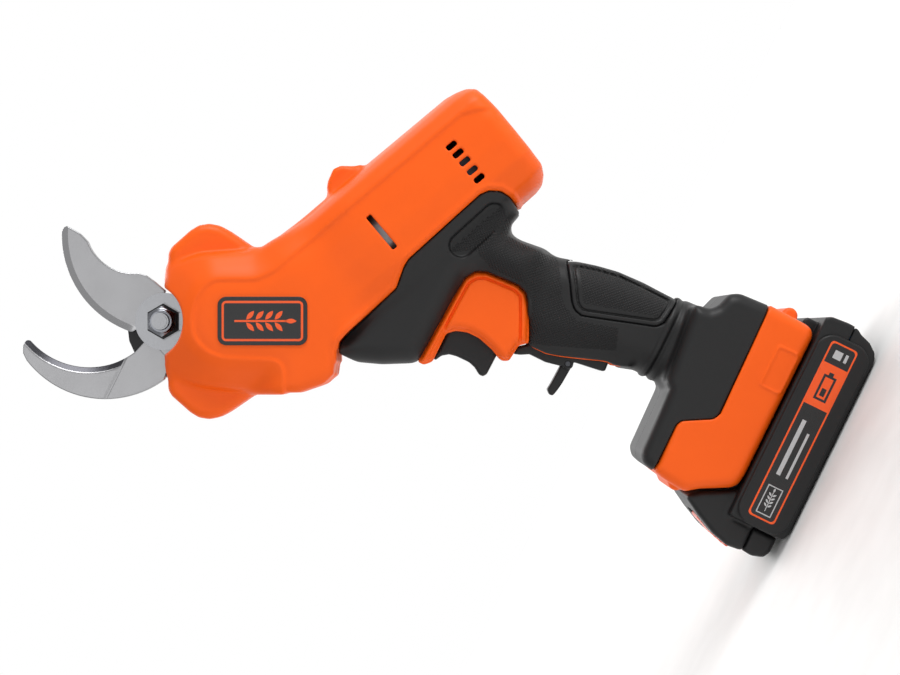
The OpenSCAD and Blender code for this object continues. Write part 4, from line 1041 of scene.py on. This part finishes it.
@dataclass
class Controls:
    """The trigger, the safety lever with its toggle, both springs and the lead screw."""

    lever_pin: tuple[float, float] = (-13.2, 143.4)
    toggle_pin: tuple[float, float] = (-16.5, 125.3)

    def trigger(self) -> None:
        """Builds the trigger, hollowed for the finger."""
        f = Field((-45, -10, 155), (-6, 10, 186), 0.5)
        shape = [(-42.6, 184), (-42.8, 182.6), (-39.6, 181), (-37.4, 178), (-36.7, 174.5), (-36.6, 168),
                 (-37.6, 164.5), (-39.8, 161), (-39.8, 159), (-38, 157.7), (-20, 157.3), (-20, 184)]
        body = f.slab(f.outline(shape, ROW, 0.5), -8.5, 8.5, 2.0)
        from_axis = np.hypot((f.z - 171)[:, None, :], f.y)
        stem = np.maximum(from_axis - 2.4, np.abs(f.x + 14)[:, None, :] - 6)
        hole = np.maximum(np.maximum(from_axis - 5.4, 2.4 - from_axis), -27 - f.x[:, None, :])
        body = np.minimum(np.maximum(body, -hole), stem)
        finish_off(paint(f.mesh("trigger_button", body), BLACK_NYLON), "trigger_body", "black_plastic",
                   "trigger")

    def lever(self) -> None:
        """Builds the safety lever and its fold-out toggle."""
        f = Field((-26, -8.5, 105), (-5, 8.5, 153), 0.45)
        shape = [(-23.6, 150.2), (-22.8, 151.2), (-19.6, 150.4), (-16.6, 146.6), (-12, 146), (-10.4, 143),
                 (-11, 139.6), (-13.4, 136), (-11.4, 125.4), (-6.2, 111), (-6.6, 108.2), (-11.6, 107.8),
                 (-12.4, 109), (-14.4, 122.6), (-18.8, 127.4), (-20.4, 134.7), (-20.4, 143.6), (-22.6, 147.4)]
        flat = np.minimum(f.outline(shape, ROW, 0.5), f.circle(*self.lever_pin, 2.9))
        flat = np.minimum(flat, f.circle(*self.toggle_pin, 2.7))
        bay = f.outline([(-30, 130), (-16, 128.4), (-14.4, 122.6), (-14.6, 116), (-30, 116)])
        bay = np.minimum(f.circle(*self.toggle_pin, 3.2), bay)
        body = cut(f.slab(flat, -7.6, 7.6, 1.2), f.through(f.circle(*self.lever_pin, 1.55)),
                   f.through(f.circle(*self.toggle_pin, 1.2)), f.slab(bay, -5, 5, 0.2))
        finish_off(paint(f.mesh("safety_paddle", body), BLACK_NYLON), "safety", "black_plastic",
                   "safety_lever")
        f = Field((-36, -6, 120), (-12, 6, 131), 0.35)
        shape = [(-16.5, 127.8), (-29, 128.3), (-31.8, 128.6), (-33.6, 126.4), (-33.2, 124.8), (-30, 124),
                 (-26, 123.4), (-16.5, 122.8)]
        flat = np.minimum(f.outline(shape, ROW, 0.5), f.circle(*self.toggle_pin, 2.5))
        body = cut(f.slab(flat, -4.6, 4.6, 1.0), f.through(f.circle(*self.toggle_pin, 1.25)))
        finish_off(paint(f.mesh("lock_toggle_tab", body), BLACK_NYLON), "toggle", "black_plastic",
                   "lock_toggle")

    def springs(self) -> None:
        """Winds the trigger's spring and the latch's spring as true coils."""
        def coil(name: str, start: Vector, way: Vector, size: tuple[float, float, float, int],
                 ride: tuple[str, str]) -> None:
            """Winds one spring.

            Args:
                name: the piece's name.
                start: its moving end, in millimetres.
                way: the direction from there to its fixed end.
                size: coil radius, wire radius, length and number of turns.
                ride: the body and the CAD node.
            """
            r, wire_r, length, turns = size
            spring = settle(wire(name, helix(r, turns, wire_r, length - wire_r), wire_r), aimed(start, way))
            finish_off(paint(spring, SINTERED), ride[0], "gear_steel", ride[1])
            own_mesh(spring)

        coil("trigger_return_spring", Vector((-26.8, 0, 171)), Vector((1, 0, 0)), (4, 0.7, 15.4, 7),
             ("housing", "trigger_spring"))
        coil("latch_return_spring", Vector((-52.1, 0, 27.2)), Vector((0.934, 0, -0.357)), (3, 0.45, 2.85, 2),
             ("pack", "latch_spring"))

    def screw(self) -> None:
        """Winds the lead screw's thread and sets it on the shaft."""
        place = aimed(1000 * Vector(_motor["pos_m"]), Vector(_motor["axis"]))
        profile = [(0, 167), (3.3, 167), (3.3, 118), (5, 118), (5, 95), (4, 95), (4, 89), (0, 89)]
        shaft = turned("lead_screw_shaft", profile, place)
        finish_off(paint(shaft, SINTERED), "spindle", "gear_steel", "lead_screw")
        thread = settle(wire("lead_screw_thread", helix(3.35, 23, 120, 164), 0.6), place)
        finish_off(paint(thread, SINTERED), "spindle", "gear_steel")

    def build(self) -> None:
        """Builds the controls."""
        self.trigger()
        self.lever()
        self.springs()
        self.screw()


PACK_LOW = [(-46.6, 15), (-46.6, 2.5), (-44.4, 0.6), (-40.5, 0), (46.9, 0), (50.3, 1.6), (53.5, 5.7), (55.2, 11),
            (56.9, 13.4), (57.3, 15)]
PACK_UP = [(-46.6, 15), (57.3, 15), (57.5, 18), (56.8, 26.4), (55.4, 29.2), (-46.6, 29.2)]
NOSE = [(-46.6, 15.5), (-59.2, 15.5), (-60.1, 22.9), (-57.7, 31.6), (-53.1, 41.3), (-48.4, 49.6), (-46.8, 49.6),
        (-43.2, 45.4), (-36.4, 33), (-34, 29.4), (-44, 27), (-46.6, 25)]


@dataclass
class Pack:
    """The battery pack: tray, lid with its nose, side panels and labels, skirt and release button."""

    half: float = 37.5

    def case(self) -> None:
        """Builds the base tray and the lid."""
        f = Field((-62, -36, -0.8), (60, 1, 52), 0.8)
        hollow = f.slab(f.outline([(-44.6, 2), (46, 2), (50, 4), (53, 10), (55.3, 18), (54.5, 27.2),
                                   (-44.6, 27.2)]), -33, 33, 0.5)
        base = f.slab(f.outline(PACK_LOW, ROW, 0.8), -34.8, 34.8, 0.8)
        base = np.maximum(np.maximum(base, (f.z - 14.85)[:, None, :]), -hollow)
        self.whole(f, base, "pack_tray", "pack_base")
        up = f.slab(f.outline([(-46.6, 10), (57.3, 10)] + PACK_UP[1:], ROW, 0.8), -34.8, 34.8, 1.4)
        nose = f.slab(f.outline(NOSE, ROW, 1.0), -29.8, 29.8, 3)
        tower = f.slab(f.outline([(-38, 26), (52.6, 26), (52.6, 34.8), (51, 36), (46, 36.4), (46, 44.6),
                                  (-32, 44.6), (-34, 36)]), -22.4, 22.4, 0.5)
        rail = f.slab(f.outline(rectangle(-30, 46, 35.2, 38.8)), -24.8, 24.8, 0.3)
        lid = np.minimum(np.minimum(smooth_min(up, nose, 2), tower), rail)
        lid = np.maximum(lid, (15.15 - f.z)[:, None, :])
        bay = f.slab(f.outline([(-54, 42), (-64, 18), (-56.6, 14.8), (-52.6, 15.6), (-45.4, 36.4)]),
                     -11.6, 11.6, 0.4)
        slots = [f.slab(f.outline(rectangle(-14.5, 66, 37.6, 48)), y - 1.6, y + 1.6, 0.1) for y in (-12, -4)]
        lid = cut(lid, hollow, bay, *slots)
        self.whole(f, lid, "pack_cover", "pack_lid")

    def whole(self, f: Field, half: np.ndarray, name: str, node: str) -> None:
        """Meshes a half, mirrors it across the middle plane and hands it over."""
        finish_off(paint(both_sides(f.mesh(name, half)), BLACK_NYLON), "pack", "black_plastic", node)

    def panels(self) -> None:
        """Builds the raised side panels with their printed labels."""
        rim = rounded(-46.5, 50, 2, 28, 8.5, 8)

        def label(inset: float) -> Points:
            """The label's rounded rectangle, inset from its edge."""
            return rounded(inset - 42, 47 - inset, 9 + inset, 22.5 - inset, 1.8, 4)

        stands_for = {"pack_panel": ("pack_panels",), "pack_label_border": ("pack_labels",)}
        for sign, where in ((-1, "near"), (1, "far")):
            def at(a: float) -> float:
                """A height above the panel's face, as a row-frame y."""
                return sign * (self.half + a)
            def sheet(name: str, points: list[Points], deep: float, high: float, finish: Finish,
                      bevel: float = 0.03) -> None:
                """One printed or moulded layer of the panel."""
                y0, y1 = sorted((at(deep), at(high)))
                piece = paint(plate(f"{name}_{where}", points, y0, y1, bevel), finish)
                slot = "black_plastic" if name == "pack_panel" else "gloss_label"
                finish_off(piece, "pack", slot, *stands_for.get(name, ()))

            sheet("pack_panel", [rim], -2.7, -0.25, BLACK_NYLON, 1.1)
            sheet("pack_label_border", [label(0)], -0.3, -0.17, FILM_ORANGE)
            sheet("pack_label_field", [label(0.8)], -0.2, -0.13, FILM_BLACK)
            sheet("pack_label_block", [rectangle(15.5, 36.5, 9.8, 21.7)], -0.15, -0.09, FILM_ORANGE, 0.0)
            # a battery sign, dark on the orange block
            cell = [rectangle(19, 31.4, 12.6, 13.7), rectangle(19, 31.4, 17.8, 18.9),
                    rectangle(19, 20.1, 13.7, 17.8), rectangle(30.3, 31.4, 13.7, 17.8),
                    rectangle(31.4, 33, 14.6, 16.9), rectangle(21.2, 25, 14.6, 16.9)]
            sheet("pack_label_sign", cell, -0.11, -0.05, FILM_BLACK, 0.0)
            frame_box = [rectangle(-39.6, -25.6, 12, 12.5), rectangle(-39.6, -25.6, 19, 19.5),
                         rectangle(-39.6, -39.1, 12.5, 19), rectangle(-26.1, -25.6, 12.5, 19)]
            bars = [rectangle(-20, 8, 16.6, 18.6), rectangle(-20, 3, 12.6, 13.8)]
            marks = frame_box + sprig(-32.6, 15.75, 5.2) + bars
            sheet("pack_label_marks", marks, -0.15, -0.09, FILM_GREY, 0.0)
            ends = [rectangle(39.5, 43.5, 12.2, 13.6), rectangle(39.5, 43.5, 15, 19)]
            sheet("pack_label_end", ends, -0.15, -0.09, FILM_GREY, 0.0)

    def front(self) -> None:
        """Builds the release button and the skirt below it."""
        f = Field((-63, -12.5, 14), (-47, 12.5, 42), 0.45)
        body = f.slab(f.outline([(-54.6, 39), (-58.9, 28.4), (-61.4, 19.4), (-55.8, 17.2), (-49, 36.9)],
                                ROW, 0.6), -11, 11, 1.2)
        for i in range(4):
            x, z = -60.4 + 1.35 * i, 21.8 + 3.3 * i
            body = smooth_max(body, -(np.hypot((f.x - x)[:, None, :], (f.z - z)[:, None, :] + 0 * f.y) - 0.7), 0.5)
        finish_off(paint(f.mesh("release_key", body), ORANGE_GLOSS), "button", "orange_plastic",
                   "release_button")
        f = Field((-61, -27.5, 1.5), (-45, 27.5, 17), 0.6)
        body = f.slab(f.outline([(-46.8, 15.3), (-58.9, 15.3), (-59.4, 9.8), (-57.6, 4.4), (-54.2, 2.6),
                                 (-46.8, 2.6)], ROW, 0.8), -26, 26, 2.2)
        finish_off(paint(f.mesh("pack_front_skirt", body), BLACK_NYLON), "pack", "black_plastic",
                   "pack_skirt")

    def build(self) -> None:
        """Builds the pack."""
        self.case()
        self.panels()
        self.front()


@dataclass
class Studio:
    """The camera, the floor and soft lights."""

    distance: float = 0.950
    roll: float = HEAD_TILT
    view: float = 0.432

    def camera(self) -> None:
        """Looks square at the near side, rolled so that the motor lies across the picture."""
        data = bpy.data.cameras.new("camera")
        data.sensor_width = 36.0
        data.lens = 36.0 * self.distance / self.view
        data.clip_end = 20
        piece = placed("camera", data)
        right = Vector((math.cos(self.roll), 0, -math.sin(self.roll)))
        up = Vector((math.sin(self.roll), 0, math.cos(self.roll)))
        turn = Matrix((right, up, Vector((0, -1, 0)))).transposed().to_4x4()
        piece.matrix_world = Matrix.Translation((-0.030, -self.distance, 0.1812)) @ turn
        bpy.context.scene.camera = piece

    def light(self, name: str, at: tuple[float, float, float], size: float, watts: float,
              target: tuple[float, float, float] = (-0.02, 0, 0.19)) -> None:
        """One soft square light, aimed at the tool's middle unless told otherwise."""
        data = bpy.data.lights.new(name, "AREA")
        data.size, data.energy = size, watts
        piece = placed(name, data)
        aim = Vector(target) - Vector(at)
        piece.matrix_world = Matrix.Translation(at) @ aim.to_track_quat("-Z", "Y").to_matrix().to_4x4()

    def build(self) -> None:
        """Builds the studio."""
        self.camera()
        self.light("key", (1.25, -0.55, 0.95), 0.9, 15.0)
        self.light("fill", (-0.5, -1.6, 0.7), 1.2, 3.4)
        self.light("rim", (0.3, 1.1, 0.9), 0.9, 1.0)
        self.light("backdrop", (-0.6, 1.7, 1.8), 1.4, 22.0, (0.0, 1.0, 0.0))
        world = bpy.data.worlds.new("pale_room")
        world.use_nodes = True
        tree = world.node_tree
        # the wall behind the tool is white and the rest of the room is dimmer
        place = add_node(tree, "ShaderNodeTexCoord")
        facing = add_node(tree, "ShaderNodeVectorMath", {1: (0, 1, 0)}, {0: place.outputs["Generated"]},
                          operation="DOT_PRODUCT")
        level = add_node(tree, "ShaderNodeMapRange",
                         {"From Min": 0.1, "From Max": 0.8, "To Min": 0.5, "To Max": 1.0},
                         {"Value": facing.outputs["Value"]}, interpolation_type="SMOOTHSTEP")
        tree.links.new(level.outputs[0], tree.nodes["Background"].inputs[1])
        tree.nodes["Background"].inputs[0].default_value = (1, 1, 1, 1)
        bpy.context.scene.world = world
        bpy.ops.mesh.primitive_plane_add(size=2.6, location=(0, 0, -0.0006))
        floor = bpy.context.object
        floor.name = "floor"
        paint(floor, Moulded("pale_floor_vinyl", "#F6F6F5", 0.5, Pattern.GLOSS, grain_mm=0.8, depth_mm=0.001))
        bpy.context.scene.view_settings.view_transform = "Standard"


def dress_nodes() -> None:
    """Gives every CAD node that stays visible its finish."""
    for finish, names in NODE_FINISHES.items():
        for name in names:
            piece = frame["nodes"][name]
            if not piece.material_slots:
                piece.data.materials.append(material_of(finish))
            for place in piece.material_slots:
                place.material = material_of(finish)


def main() -> None:
    """Builds the pieces in order."""
    logging.basicConfig(level=logging.INFO, format="%(name)s %(message)s")
    Studio().build()
    dress_nodes()
    Housing().build()
    Blades().build()
    Controls().build()
    Pack().build()


if __name__ == "__main__":
    main()
